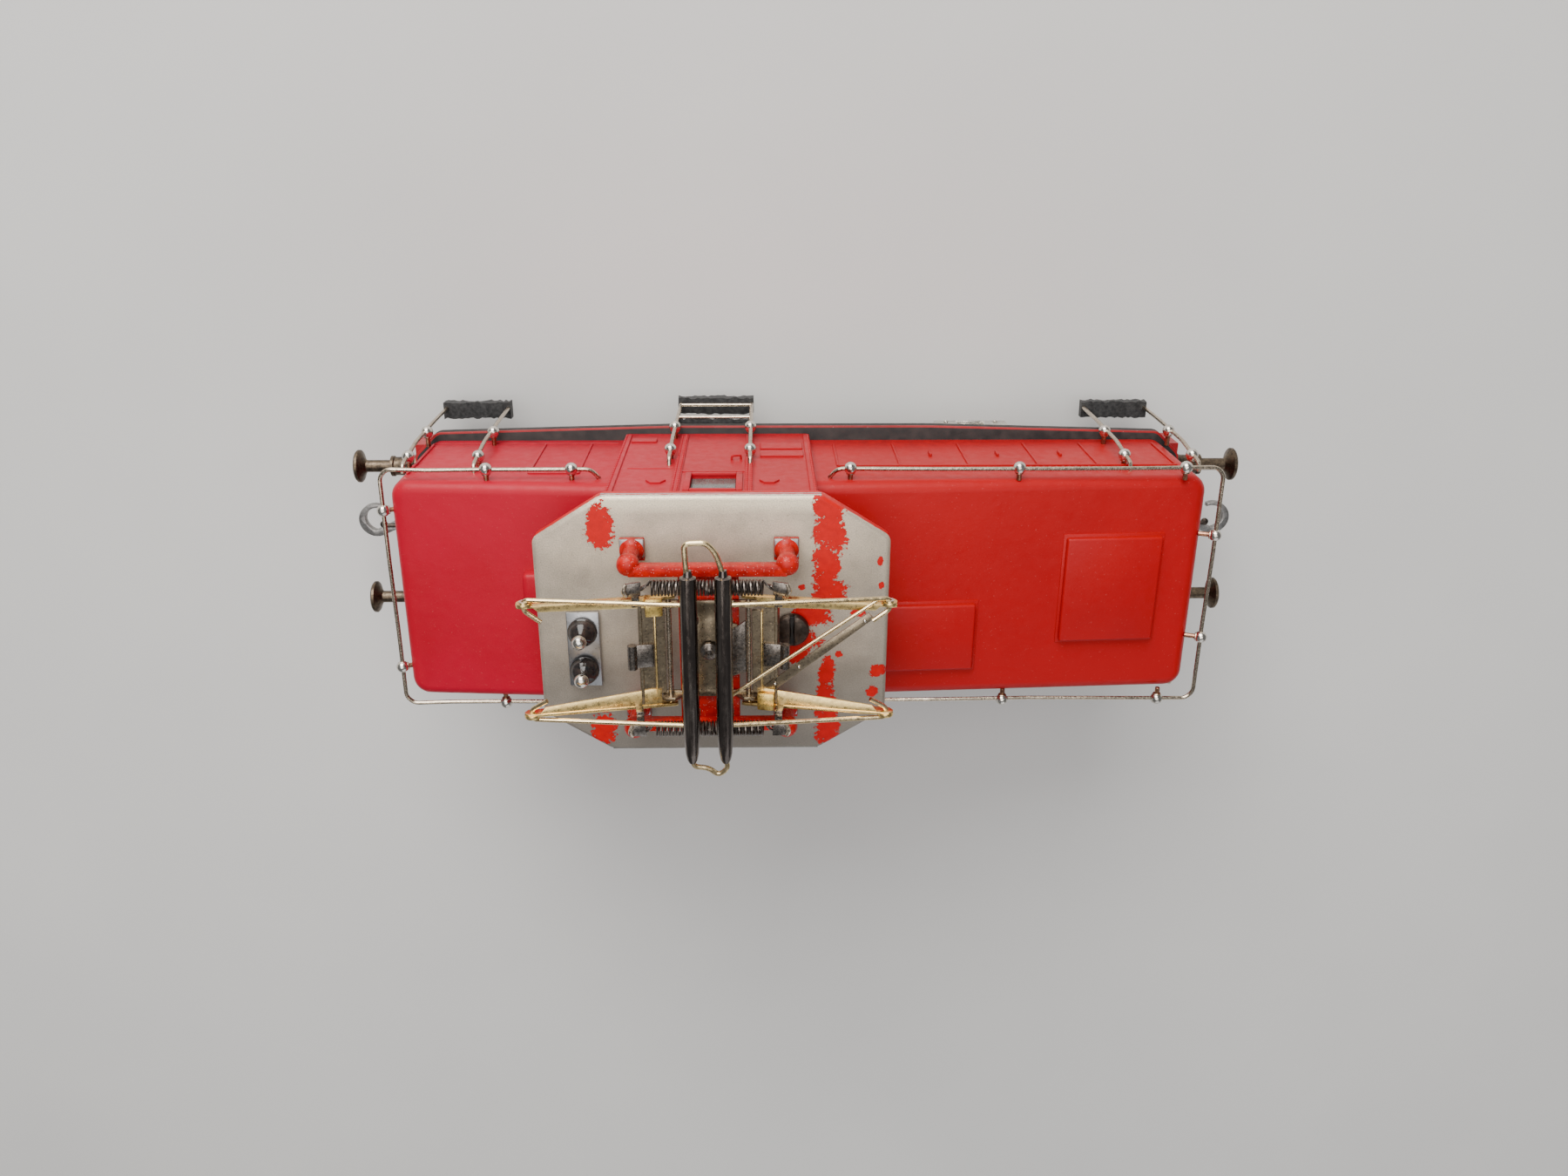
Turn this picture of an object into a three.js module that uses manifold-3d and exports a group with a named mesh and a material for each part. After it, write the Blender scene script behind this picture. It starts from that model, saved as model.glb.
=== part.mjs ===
// Three-axle electric shunting locomotive, 1:87 scale: short hood, cab, long hood.
// Frame: +X towards the long hood, +Z up, Y = 0 the plane of symmetry, X = 0 midway
// between the buffer faces, Z = 0 at the lowest point of the wheel flanges.
import * as THREE from 'three';
import { mergeVertices } from 'three/addons/utils/BufferGeometryUtils.js';
import Module from 'manifold-3d';

const wasm = await Module();
wasm.setup();

// ---------------------------------------------------------------- driving dimensions (mm)
const GAP = 0.3;                    // clearance kept between neighbouring pieces
const SLIVER = 0.01;                // edges shorter than this are merged away after the booleans

const LENGTH_OVER_BUFFERS = 117;
const BUFFER_SPACING = 18.6;
const BUFFER_HEIGHT = 12.5;
const BUFFER_HEAD_RADIUS = 2.15;
const BUFFER_SHANK_RADIUS = 0.8;

const FOOTPLATE_TOP = 16;
const FOOTPLATE_THICKNESS = 1.5;
const FOOTPLATE_HALF_WIDTH = 15.5;
const FOOTPLATE_END_HALF_WIDTH = 14.7;
const FOOTPLATE_CORNER = 3;
const BUFFER_LENGTH = 9;            // from the buffer beam to the buffer face
const BEAM_THICKNESS = 1.4;
const BEAM_DEPTH = 6.4;
const BEAM_HALF_WIDTH = 13;
const LAMP_RADIUS = 1.6;
const LAMP_LENGTH = 3;
const LAMP_RIM = 0.35;
const LAMP_RECESS = 0.9;

const WALL = 1.2;
const HOOD_HALF_WIDTH = 13.65;
const SHORT_HOOD_SETBACK = 1.7;      // from the end of the footplate
const SHORT_HOOD_HEIGHT_AT_CAB = 35.9;
const SHORT_HOOD_HEIGHT_AT_END = 34.1;
const LONG_HOOD_SETBACK = 2.1;
const LONG_HOOD_HEIGHT_AT_CAB = 35.4;
const LONG_HOOD_HEIGHT_AT_END = 33.1;
const HOOD_CORNER_RADIUS = 2;
const HATCH_THICKNESS = 0.6;
const END_HATCH = { rear: 31, front: 42.5, right: -6.6, left: 6.6 };
const CAB_HATCH = { rear: 6, front: 20.6, right: -10, left: -1.5 };
const HATCH_ROOT = 31;              // height at which both hatches are well inside the hood

const CAB_REAR = -22.2;
const CAB_FRONT = 1.2;
const CAB_HALF_WIDTH = 14.5;
const WINDOW_SILL = 34.9;
const WINDOW_HEIGHT = 5.5;
const SIDE_WINDOW_CENTRE = -10.4;
const SIDE_WINDOW_WIDTH = 5.1;
const END_WINDOW_SILL = 37;
const END_WINDOW_HEIGHT = 4.2;
const END_WINDOW_WIDTH = 8;
const END_WINDOW_OFFSET = 7;
const GLAZING_THICKNESS = 0.3;

const ROOF_CENTRE = -10.4;
const ROOF_HALF_LENGTH = 19.4;
const ROOF_HALF_WIDTH = 15.3;
const ROOF_SIDE_HALF_LENGTH = 11.8;
const ROOF_END_HALF_WIDTH = 10.5;
const ROOF_EDGE_HEIGHT = 44.4;
const ROOF_CROWN = 0.6;
const ROOF_THICKNESS = 1.3;

const RAIL_WIRE_RADIUS = 0.25;
const RAIL_HEIGHT = 33.5;
const RAIL_HALF_WIDTH = 14.95;
const RAIL_SETBACK = 0.7;           // from the end of the footplate
const RAIL_BEND = 0.8;
const SHORT_RAIL_KNOBS = { sides: [-26.8, -36.6], ends: [-10, 10] };
const LONG_RAIL_KNOBS = { sides: [5.3, 24.9, 44.3], ends: [-6.6, 6.6] };
const KNOB_RADIUS = 0.75;
const KNOB_PIN_RADIUS = 0.35;

const STEP_BOARD_HEIGHT = 5;
const STEP_BOARD_THICKNESS = 1.2;
const STEP_BOARD_DEPTH = 2.2;
const STEP_ROD_TOP = 30.4;
const STEP_ROD_BEND = 13.5;
const STEP_KNOB_HEIGHTS = [27.5, 18.2];
const END_STEP_SETBACK = 2.5;       // from the end of the footplate to the outer rod
const END_STEP_WIDTH = 8.3;
const CAB_STEP = { rear: -15.8, front: -6.3 };

const WHEEL_RADIUS = 7.2;
const FLANGE_DEPTH = 1;
const WHEEL_BACK = 7;
const WHEEL_WIDTH = 3.2;
const WHEEL_SPACING = 26;
const AXLE_RADIUS = 1.2;
const CRANK_RADIUS = 3;
const CRANK_PIN_RADIUS = 0.8;
const CRANK_PIN_HEAD_RADIUS = 1.4;
const CRANK_ANGLE_LEFT = -132.8;    // +Y side, degrees from +X towards +Z
const CRANK_ANGLE_RIGHT = -42.8;    // -Y side, a quarter turn on
const ROD_THICKNESS = 1.4;
const ROD_HALF_HEIGHT = 1.3;
const ROD_BOSS_THICKNESS = 1.3;
const ROD_BOSS_LENGTH = 10;
const ROD_BOSS_HALF_HEIGHT = 2.1;
const ROD_END_RADIUS = 2;

const FRAME_HALF_WIDTH = 5.9;
const FRAME_PLATE = 2.2;
const FRAME_SETBACK = 4.5;          // from the end of the footplate
const FRAME_BOTTOM = 5.4;
const FRAME_TOP = 17;
const DECK_THICKNESS = 1.5;
const DECK_HALF_WIDTH = 11.6;
const MIDDLE_BLOCK = { rear: -18, front: -8.5 };
const AXLE_CLEARANCE = 10;          // frame casting kept this far from the outer axles

const GEAR_MODULE = 0.6;
const GEAR_FACE = -3.2;             // the gear train's plane, lowest Y
const GEAR_WIDTH = 2;
const AXLE_GEAR_TEETH = 20;
const IDLER_TEETH = 17;
const PINION_TEETH = 8;
const GEAR_TRAIN_ANGLE = 115.5;     // from the driven axle up to the armature, degrees
const IDLER_STUD_RADIUS = 0.8;

const ARMATURE_RADIUS = 6.2;
const ARMATURE_BACK = 0.3;
const ARMATURE_LENGTH = 8.4;
const ARMATURE_SHAFT_RADIUS = 0.75;
const FIELD_HALF_WIDTH = 8.3;
const FIELD_HALF_HEIGHT = 7.7;
const BRUSH_PLATE_THICKNESS = 1.4;
const BRUSH_RADIUS = 1;
const BRUSH_OFFSET = 3.6;

const SCREW_X = -1.7;
const SCREW_RADIUS = 1;
const SCREW_HEAD_RADIUS = 1.9;
const SCREW_FOOT = 25.3;            // height of the screw's lower end
const SCREW_GRIP = 7.7;             // length of the screw held in its post
const SCREW_POST_RADIUS = 2.8;

const PANTOGRAPH_CENTRE = -10.65;
const PIVOT_OFFSET = 4.2;
const PIVOT_RISE = 5.9;             // heights called rise are above the roof
const LOWER_ARM_LENGTH = 14.75;
const LOWER_ARM_ANGLE = 9.5;        // folded, degrees above level
const PIVOT_ROD_RADIUS = 0.3;
const PIVOT_PLAY = 0.25;
const ARM_OUTER_Y = 6.35;
const SHEET = 0.35;
const PAN_OFFSET = 1.75;
const HEAD_PIVOT_RISE = 9.95;
const PAN_RISE = 11.4;
const PAN_RADIUS = 0.88;
const PAN_HALF_LENGTH = 10.5;
const WIRE_RADIUS = 0.25;
const WIRE_Y = 6.85;
const OPEN_PIVOT_PLAY = 0.45;       // the front wire's play in its ears, which the linkage needs
const SPRING_Y = 8.1;
const SPRING_RISE = 8.3;
const SPRING_RADIUS = 0.95;
const BASE_BAR_Y = 9;
const BASE_BAR_HALF_LENGTH = 8.3;
const BASE_BAR_RISE = 6.2;
const BASE_BAR_DEPTH = 1.5;
const CROSS_PLATE_HALF_LENGTH = 3.2;
const BRACKET_HALF_LENGTH = 3;
const EAR_INNER_Y = 5.2;
const EAR_OUTER_Y = 5.6;
const PANTOGRAPH_SCREW_RADIUS = 0.7;
const FLANGE_LEFT = [5.4, 5.6];      // inner edge of each top flange, at its pivot and its knee
const FLANGE_RIGHT = [4.3, 5.3];
const SPRING_LUG = { start: 3.1, end: 3.9, bottom: 1.55, top: 2.1 };
const CROSS_MEMBER = { start: 1.4, end: 3.2, halfWidth: 6, bottom: 0.05 };

const INSULATOR_X = -24.7;
const INSULATOR_SPACING = 4.6;
const INSULATOR_CENTRE_Y = -2.2;
const INSULATOR_RADIUS = 1.55;

const COUPLER_HEIGHT = 9;
const COUPLER_THICKNESS = 1;
const COUPLER_PIVOT_SETBACK = 9.5;  // from the end of the footplate
const COUPLER_OVERHANG = 1.5;       // how far the hook reaches past the buffer faces
const COUPLER_PIN_RADIUS = 0.9;
const COUPLER_PIN_HEAD_RADIUS = 1.7;
const COUPLER_PIN_HEAD_THICKNESS = 0.7;
const HOOK_LENGTH = 7.5;            // the part of the coupler that is thickened underneath
const HOOK_PAD = 0.2;
const HOOK_RADIUS = 2.3;

const SKATE_REAR = -21;
const SKATE_FRONT = 16;
const SKATE_RAMP = 4;
const SKATE_HALF_WIDTH = 2;
const SKATE_BOTTOM = 0.7;
const SKATE_THICKNESS = 0.7;
const SKATE_STEM_X = -13.2;
const SKATE_STEM_RADIUS = 0.8;
const SKATE_PLATE = { rear: -17.5, front: -9, thickness: 0.8 };

const BULB_SETBACK = 8.5;           // from the end of the footplate

// ---------------------------------------------------------------- values that follow
const AXLE_HEIGHT = WHEEL_RADIUS + FLANGE_DEPTH;
const ROOF_TOP = ROOF_EDGE_HEIGHT + ROOF_CROWN;
const PIVOT_HEIGHT = ROOF_TOP + PIVOT_RISE;
const HEAD_PIVOT_HEIGHT = ROOF_TOP + HEAD_PIVOT_RISE;
const PAN_HEIGHT = ROOF_TOP + PAN_RISE;
const SPRING_HEIGHT = ROOF_TOP + SPRING_RISE;
const BASE_BAR_TOP = ROOF_TOP + BASE_BAR_RISE;
const FOOTPLATE_HALF_LENGTH = LENGTH_OVER_BUFFERS / 2 - BUFFER_LENGTH;
const SHORT_HOOD_END = SHORT_HOOD_SETBACK - FOOTPLATE_HALF_LENGTH;
const LONG_HOOD_END = FOOTPLATE_HALF_LENGTH - LONG_HOOD_SETBACK;
const RAIL_HALF_LENGTH = FOOTPLATE_HALF_LENGTH - RAIL_SETBACK;
const FRAME_HALF_LENGTH = FOOTPLATE_HALF_LENGTH - FRAME_SETBACK;
const COUPLER_PIVOT_X = FOOTPLATE_HALF_LENGTH - COUPLER_PIVOT_SETBACK;
const COUPLER_REACH = LENGTH_OVER_BUFFERS / 2 + COUPLER_OVERHANG;
const LAMP_HEIGHT = FOOTPLATE_TOP + LAMP_RADIUS + 0.5;
const DECK_TOP = FRAME_TOP + DECK_THICKNESS;
const DEG = Math.PI / 180;

// ---------------------------------------------------------------- finishes
const finish = (color, roughness, metalness) => ({ color, roughness, metalness });
const RED = finish('#c41f24', 0.45, 0.1);
const NICKEL = finish('#b9b3a6', 0.3, 1);
const BRASS = finish('#b09350', 0.35, 1);
const DARK_METAL = finish('#3d3a34', 0.45, 0.9);
const STEEL = finish('#8b8b88', 0.4, 1);
const BLACK = finish('#1b1a19', 0.6, 0);
const ZINC = finish('#6f6e6b', 0.6, 0.7);
const CLEAR = finish('#9aa09d', 0.1, 0);
const COPPER = finish('#9c5a35', 0.4, 1);
const FIBRE = finish('#6a4a2c', 0.8, 0);

const locomotive = new THREE.Group();

// ---------------------------------------------------------------- solids and booleans
function solid(geometry) {
  const bare = geometry.index ? geometry.toNonIndexed() : geometry.clone();
  bare.deleteAttribute('normal');
  bare.deleteAttribute('uv');
  const merged = mergeVertices(bare, 1e-4);
  const mesh = new wasm.Mesh({
    numProp: 3,
    vertProperties: new Float32Array(merged.attributes.position.array),
    triVerts: new Uint32Array(merged.index.array),
  });
  return new wasm.Manifold(mesh);
}

const joined = (pieces) => pieces.reduce((whole, piece) => whole.add(piece));
const cut = (whole, tools) => tools.reduce((rest, tool) => rest.subtract(tool), whole);

function add(name, shape, look) {
  const mesh = shape.simplify(SLIVER).getMesh();
  const geometry = new THREE.BufferGeometry();
  geometry.setAttribute('position', new THREE.BufferAttribute(mesh.vertProperties, 3));
  geometry.setIndex(new THREE.BufferAttribute(mesh.triVerts, 1));
  geometry.computeVertexNormals();
  const node = new THREE.Mesh(geometry, new THREE.MeshStandardMaterial(look));
  node.name = name;
  locomotive.add(node);
}

// Block between two opposite corners, whose x and y may come in either order.
function box(x0, x1, y0, y1, z0, z1) {
  const geometry = new THREE.BoxGeometry(Math.abs(x1 - x0), Math.abs(y1 - y0), z1 - z0);
  geometry.translate((x0 + x1) / 2, (y0 + y1) / 2, (z0 + z1) / 2);
  return solid(geometry);
}

// Round bar from one point to another.
function rod(from, to, radius, sides = 6, endRadius = radius) {
  const start = new THREE.Vector3(...from);
  const along = new THREE.Vector3(...to).sub(start);
  const geometry = new THREE.CylinderGeometry(endRadius, radius, along.length(), sides);
  geometry.translate(0, along.length() / 2, 0);
  const up = new THREE.Vector3(0, 1, 0);
  const turn = new THREE.Quaternion().setFromUnitVectors(up, along.normalize());
  geometry.applyQuaternion(turn);
  geometry.translate(...from);
  return solid(geometry);
}

function ball(centre, radius, around, down) {
  const geometry = new THREE.SphereGeometry(radius, around, down);
  geometry.translate(...centre);
  return solid(geometry);
}

// Bent wire: straight runs, each carried on a little past its bend to fill the corner.
function wire(points, radius) {
  const last = points.length - 2;
  return joined(points.slice(1).map((point, i) => {
    const start = new THREE.Vector3(...points[i]);
    const end = new THREE.Vector3(...point);
    const past = end.clone().sub(start).setLength(radius * 0.5);
    if (i > 0) start.sub(past);
    if (i < last) end.add(past);
    return rod(start.toArray(), end.toArray(), radius, 5);
  }));
}

// Flat outline in X and Z, given thickness along Y.
function sideProfile(outline, y0, y1) {
  const depth = Math.abs(y1 - y0);
  const geometry = new THREE.ExtrudeGeometry(outline, { depth, bevelEnabled: false });
  geometry.rotateX(Math.PI / 2);
  geometry.translate(0, Math.max(y0, y1), 0);
  return solid(geometry);
}

// Flat outline in X and Y, given thickness along Z.
function planProfile(outline, z0, z1) {
  const options = { depth: z1 - z0, bevelEnabled: false, curveSegments: 3 };
  const geometry = new THREE.ExtrudeGeometry(outline, options);
  geometry.translate(0, 0, z0);
  return solid(geometry);
}

const polygon = (points) => new THREE.Shape(points.map(([a, b]) => new THREE.Vector2(a, b)));

function roundedRectangle(x0, x1, y0, y1, radius) {
  const shape = new THREE.Shape();
  shape.moveTo(x0 + radius, y0);
  shape.lineTo(x1 - radius, y0);
  shape.absarc(x1 - radius, y0 + radius, radius, -Math.PI / 2, 0);
  shape.lineTo(x1, y1 - radius);
  shape.absarc(x1 - radius, y1 - radius, radius, 0, Math.PI / 2);
  shape.lineTo(x0 + radius, y1);
  shape.absarc(x0 + radius, y1 - radius, radius, Math.PI / 2, Math.PI);
  shape.lineTo(x0, y0 + radius);
  shape.absarc(x0 + radius, y0 + radius, radius, Math.PI, Math.PI * 1.5);
  return shape;
}

// Half profile of radius and height turned about an axis through a point.
function turned(profile, centre, axis, sides) {
  const points = profile.map(([radius, height]) => new THREE.Vector2(radius, height));
  const geometry = new THREE.LatheGeometry(points, sides);
  if (axis === 'x') geometry.rotateZ(-Math.PI / 2);
  if (axis === 'z') geometry.rotateX(Math.PI / 2);
  geometry.translate(...centre);
  return solid(geometry);
}

// ---------------------------------------------------------------- body casting
// One hood: a block with rounded corners under a roof that falls towards its end.
function hoodBlock(end, cabWall, heightAtCab, heightAtEnd, inset, bottom) {
  const side = Math.sign(end);
  const outer = end - side * inset;
  const inner = cabWall - side * 2;
  const halfWidth = HOOD_HALF_WIDTH - inset;
  const radius = Math.max(HOOD_CORNER_RADIUS - inset, 0.4);
  const plan = roundedRectangle(
    Math.min(outer, inner), Math.max(outer, inner), -halfWidth, halfWidth, radius);
  const block = planProfile(plan, bottom, heightAtCab + 1);
  const far = end + side * 2;
  const fall = (heightAtEnd - heightAtCab) / (end - cabWall);
  const height = (x) => heightAtCab + fall * (x - cabWall) - inset;
  const shoulder = HOOD_HALF_WIDTH + 1;
  const envelope = sideProfile(
    polygon([[inner, bottom - 1], [far, bottom - 1], [far, height(far)], [inner, height(inner)]]),
    -shoulder, shoulder);
  return block.intersect(envelope);
}

function roofPlate(inset, z0, z1) {
  const long = ROOF_HALF_LENGTH - inset;
  const wide = ROOF_HALF_WIDTH - inset;
  const longSide = ROOF_SIDE_HALF_LENGTH;
  const wideEnd = ROOF_END_HALF_WIDTH;
  const corners = [[long, wideEnd], [longSide, wide], [-longSide, wide], [-long, wideEnd],
    [-long, -wideEnd], [-longSide, -wide], [longSide, -wide], [long, -wideEnd]];
  return planProfile(polygon(corners.map(([x, y]) => [x + ROOF_CENTRE, y])), z0, z1);
}

function footplate() {
  const half = FOOTPLATE_HALF_LENGTH;
  const quarter = [[half, FOOTPLATE_END_HALF_WIDTH - FOOTPLATE_CORNER],
    [half - FOOTPLATE_CORNER, FOOTPLATE_END_HALF_WIDTH], [half / 3, FOOTPLATE_HALF_WIDTH]];
  const upper = [...quarter, ...quarter.slice().reverse().map(([x, y]) => [-x, y])];
  const lower = upper.slice().reverse().map(([x, y]) => [x, -y]);
  const plan = polygon([...upper, ...lower]);
  return planProfile(plan, FOOTPLATE_TOP - FOOTPLATE_THICKNESS, FOOTPLATE_TOP);
}

function bufferBeam(side) {
  const outer = side * FOOTPLATE_HALF_LENGTH;
  const inner = outer - side * BEAM_THICKNESS;
  const bottom = FOOTPLATE_TOP - BEAM_DEPTH;
  const plate = box(inner, outer, -BEAM_HALF_WIDTH, BEAM_HALF_WIDTH, bottom, FOOTPLATE_TOP - 0.5);
  const slotTop = COUPLER_HEIGHT + COUPLER_THICKNESS + 0.8;
  return plate.subtract(box(outer - 5, outer + 5, -5, 5, bottom - 1, slotTop));
}

function lampHousing(side, y) {
  const face = side * (FOOTPLATE_HALF_LENGTH - 0.1);
  const back = face - side * LAMP_LENGTH;
  const barrel = rod([back, y, LAMP_HEIGHT], [face, y, LAMP_HEIGHT], LAMP_RADIUS, 12);
  const foot = box(back, face, y - LAMP_RADIUS / 2, y + LAMP_RADIUS / 2, FOOTPLATE_TOP - 0.5, LAMP_HEIGHT);
  const recess = rod([face - side * LAMP_RECESS, y, LAMP_HEIGHT], [face + side, y, LAMP_HEIGHT],
    LAMP_RADIUS - LAMP_RIM, 12);
  return barrel.add(foot).subtract(recess);
}

function bodyCasting() {
  const under = FOOTPLATE_TOP - FOOTPLATE_THICKNESS;
  const hoods = [
    [SHORT_HOOD_END, CAB_REAR, SHORT_HOOD_HEIGHT_AT_CAB, SHORT_HOOD_HEIGHT_AT_END],
    [LONG_HOOD_END, CAB_FRONT, LONG_HOOD_HEIGHT_AT_CAB, LONG_HOOD_HEIGHT_AT_END]];
  const cab = box(CAB_REAR, CAB_FRONT, -CAB_HALF_WIDTH, CAB_HALF_WIDTH,
    under + 0.2, ROOF_EDGE_HEIGHT - 0.2);
  const roof = roofPlate(0, ROOF_TOP - ROOF_THICKNESS - ROOF_CROWN, ROOF_EDGE_HEIGHT)
    .add(roofPlate(1.1, ROOF_EDGE_HEIGHT - 0.2, ROOF_TOP));
  const hatch = ({ rear, front, right, left }, top) => box(rear, front, right, left, HATCH_ROOT, top);
  const hatches = [
    hatch(END_HATCH, LONG_HOOD_HEIGHT_AT_END + HATCH_THICKNESS + 0.8),
    hatch(CAB_HATCH, LONG_HOOD_HEIGHT_AT_CAB + HATCH_THICKNESS - 0.4)];
  const outside = joined([
    footplate(), cab, roof, ...hatches,
    ...hoods.map((hood) => hoodBlock(...hood, 0, under + 0.2)),
    ...[-1, 1].map(bufferBeam),
    ...[-1, 1].flatMap((side) => [-1, 1].map((y) => lampHousing(side, y * BUFFER_SPACING / 2)))]);
  const hollows = [
    ...hoods.map((hood) => hoodBlock(...hood, WALL, under - 1)),
    box(CAB_REAR + WALL, CAB_FRONT - WALL, -CAB_HALF_WIDTH + WALL, CAB_HALF_WIDTH - WALL,
      under - 1, ROOF_EDGE_HEIGHT - ROOF_THICKNESS)];
  const windowTop = WINDOW_SILL + WINDOW_HEIGHT;
  const sideWindow = box(
    SIDE_WINDOW_CENTRE - SIDE_WINDOW_WIDTH / 2, SIDE_WINDOW_CENTRE + SIDE_WINDOW_WIDTH / 2,
    -CAB_HALF_WIDTH - 1, CAB_HALF_WIDTH + 1, WINDOW_SILL, windowTop);
  const endWindows = [-1, 1].map((side) => box(
    CAB_REAR - 1, CAB_FRONT + 1,
    side * END_WINDOW_OFFSET - END_WINDOW_WIDTH / 2, side * END_WINDOW_OFFSET + END_WINDOW_WIDTH / 2,
    END_WINDOW_SILL, END_WINDOW_SILL + END_WINDOW_HEIGHT));
  const screwHole = rod([SCREW_X, 0, ROOF_TOP - 5], [SCREW_X, 0, ROOF_TOP + 1], SCREW_RADIUS + GAP, 12);
  const bufferHoles = [-1, 1].flatMap((side) => [-1, 1].map((y) => rod(
    [side * (FOOTPLATE_HALF_LENGTH - 3), y * BUFFER_SPACING / 2, BUFFER_HEIGHT],
    [side * (FOOTPLATE_HALF_LENGTH + 1), y * BUFFER_SPACING / 2, BUFFER_HEIGHT],
    BUFFER_SHANK_RADIUS + GAP, 8)));
  add('body_casting', cut(outside, [...hollows, sideWindow, ...endWindows, screwHole, ...bufferHoles]), RED);
}

function cabGlazing() {
  const wallInset = WALL + GAP;
  const x0 = CAB_REAR + wallInset;
  const x1 = CAB_FRONT - wallInset;
  const half = CAB_HALF_WIDTH - wallInset;
  const bottom = WINDOW_SILL - 1.5;
  const top = ROOF_EDGE_HEIGHT - ROOF_THICKNESS - GAP;
  const sleeve = box(x0, x1, -half, half, bottom, top).subtract(box(
    x0 + GLAZING_THICKNESS, x1 - GLAZING_THICKNESS,
    -half + GLAZING_THICKNESS, half - GLAZING_THICKNESS, bottom - 1, top + 1));
  add('cab_glazing', sleeve, CLEAR);
}

function headlampLenses() {
  const radius = LAMP_RADIUS - LAMP_RIM - GAP;
  for (const [end, side] of [['short_hood', -1], ['long_hood', 1]]) {
    for (const [label, lateral] of [['left', 1], ['right', -1]]) {
      const face = side * (FOOTPLATE_HALF_LENGTH - 0.2);
      const y = lateral * BUFFER_SPACING / 2;
      const lens = rod([face - side * 0.4, y, LAMP_HEIGHT], [face + side * 0.3, y, LAMP_HEIGHT],
        radius, 10, radius - 0.3);
      add(`headlamp_lens_${end}_${label}`, lens, CLEAR);
    }
  }
}

// ---------------------------------------------------------------- roof fittings
function roofScrew() {
  const seat = ROOF_TOP + GAP;
  const headTop = seat + 1;
  const shank = rod([SCREW_X, 0, headTop - 0.2], [SCREW_X, 0, SCREW_FOOT], SCREW_RADIUS, 10);
  const head = rod([SCREW_X, 0, seat], [SCREW_X, 0, headTop],
    SCREW_HEAD_RADIUS, 16, SCREW_HEAD_RADIUS - 0.25);
  const slot = box(SCREW_X - 0.35, SCREW_X + 0.35, -3, 3, headTop - 0.5, headTop + 1);
  add('roof_screw', head.add(shank).subtract(slot), DARK_METAL);
}

function roofInsulators() {
  const plateTop = ROOF_TOP + GAP + 0.5;
  const halfPlate = INSULATOR_SPACING / 2 + INSULATOR_RADIUS + 0.6;
  add('insulator_plate', box(
    INSULATOR_X - 1.8, INSULATOR_X + 1.8, INSULATOR_CENTRE_Y - halfPlate, INSULATOR_CENTRE_Y + halfPlate,
    ROOF_TOP + GAP, plateTop), STEEL);
  for (const [label, side] of [['left', 1], ['right', -1]]) {
    const y = INSULATOR_CENTRE_Y + side * INSULATOR_SPACING / 2;
    const base = plateTop + GAP;
    const profile = [[0, 0], [INSULATOR_RADIUS, 0], [INSULATOR_RADIUS, 0.7],
      [INSULATOR_RADIUS * 0.8, 1.3], [INSULATOR_RADIUS * 0.45, 1.7], [0, 1.8]];
    const dome = turned(profile, [INSULATOR_X, y, base], 'z', 12);
    const tip = base + 1.7;
    const pin = rod([INSULATOR_X, y, tip], [INSULATOR_X, y, tip + 0.8], 0.45, 8)
      .add(ball([INSULATOR_X, y, tip + 1.2], 0.8, 10, 6));
    add(`insulator_${label}`, dome.add(pin), BLACK);
  }
}

// ---------------------------------------------------------------- pantograph
function pantographBase() {
  const bars = [-1, 1].map((side) => box(
    PANTOGRAPH_CENTRE - BASE_BAR_HALF_LENGTH, PANTOGRAPH_CENTRE + BASE_BAR_HALF_LENGTH,
    side * BASE_BAR_Y - 0.65, side * BASE_BAR_Y + 0.65, BASE_BAR_TOP - BASE_BAR_DEPTH, BASE_BAR_TOP));
  const foot = ROOF_TOP + GAP;
  const posts = [-1, 1].flatMap((end) => [-1, 1].map((side) => turned(
    [[0, 0], [1.5, 0], [1.5, 1], [1, 1.4], [1, 3.6], [1.4, 4], [1.4, BASE_BAR_TOP - foot],
      [0, BASE_BAR_TOP - foot + 0.3]],
    [PANTOGRAPH_CENTRE + end * BASE_BAR_HALF_LENGTH, side * (BASE_BAR_Y + 0.5), foot], 'z', 8)));
  const plate = box(
    PANTOGRAPH_CENTRE - CROSS_PLATE_HALF_LENGTH, PANTOGRAPH_CENTRE + CROSS_PLATE_HALF_LENGTH,
    -BASE_BAR_Y, BASE_BAR_Y,
    BASE_BAR_TOP - BASE_BAR_DEPTH - 0.7, BASE_BAR_TOP - BASE_BAR_DEPTH + 0.3);
  const hole = rod([PANTOGRAPH_CENTRE, 0, foot], [PANTOGRAPH_CENTRE, 0, BASE_BAR_TOP],
    PANTOGRAPH_SCREW_RADIUS + GAP, 8);
  add('pantograph_base', joined([...bars, ...posts, plate]).subtract(hole), RED);
}

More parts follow.
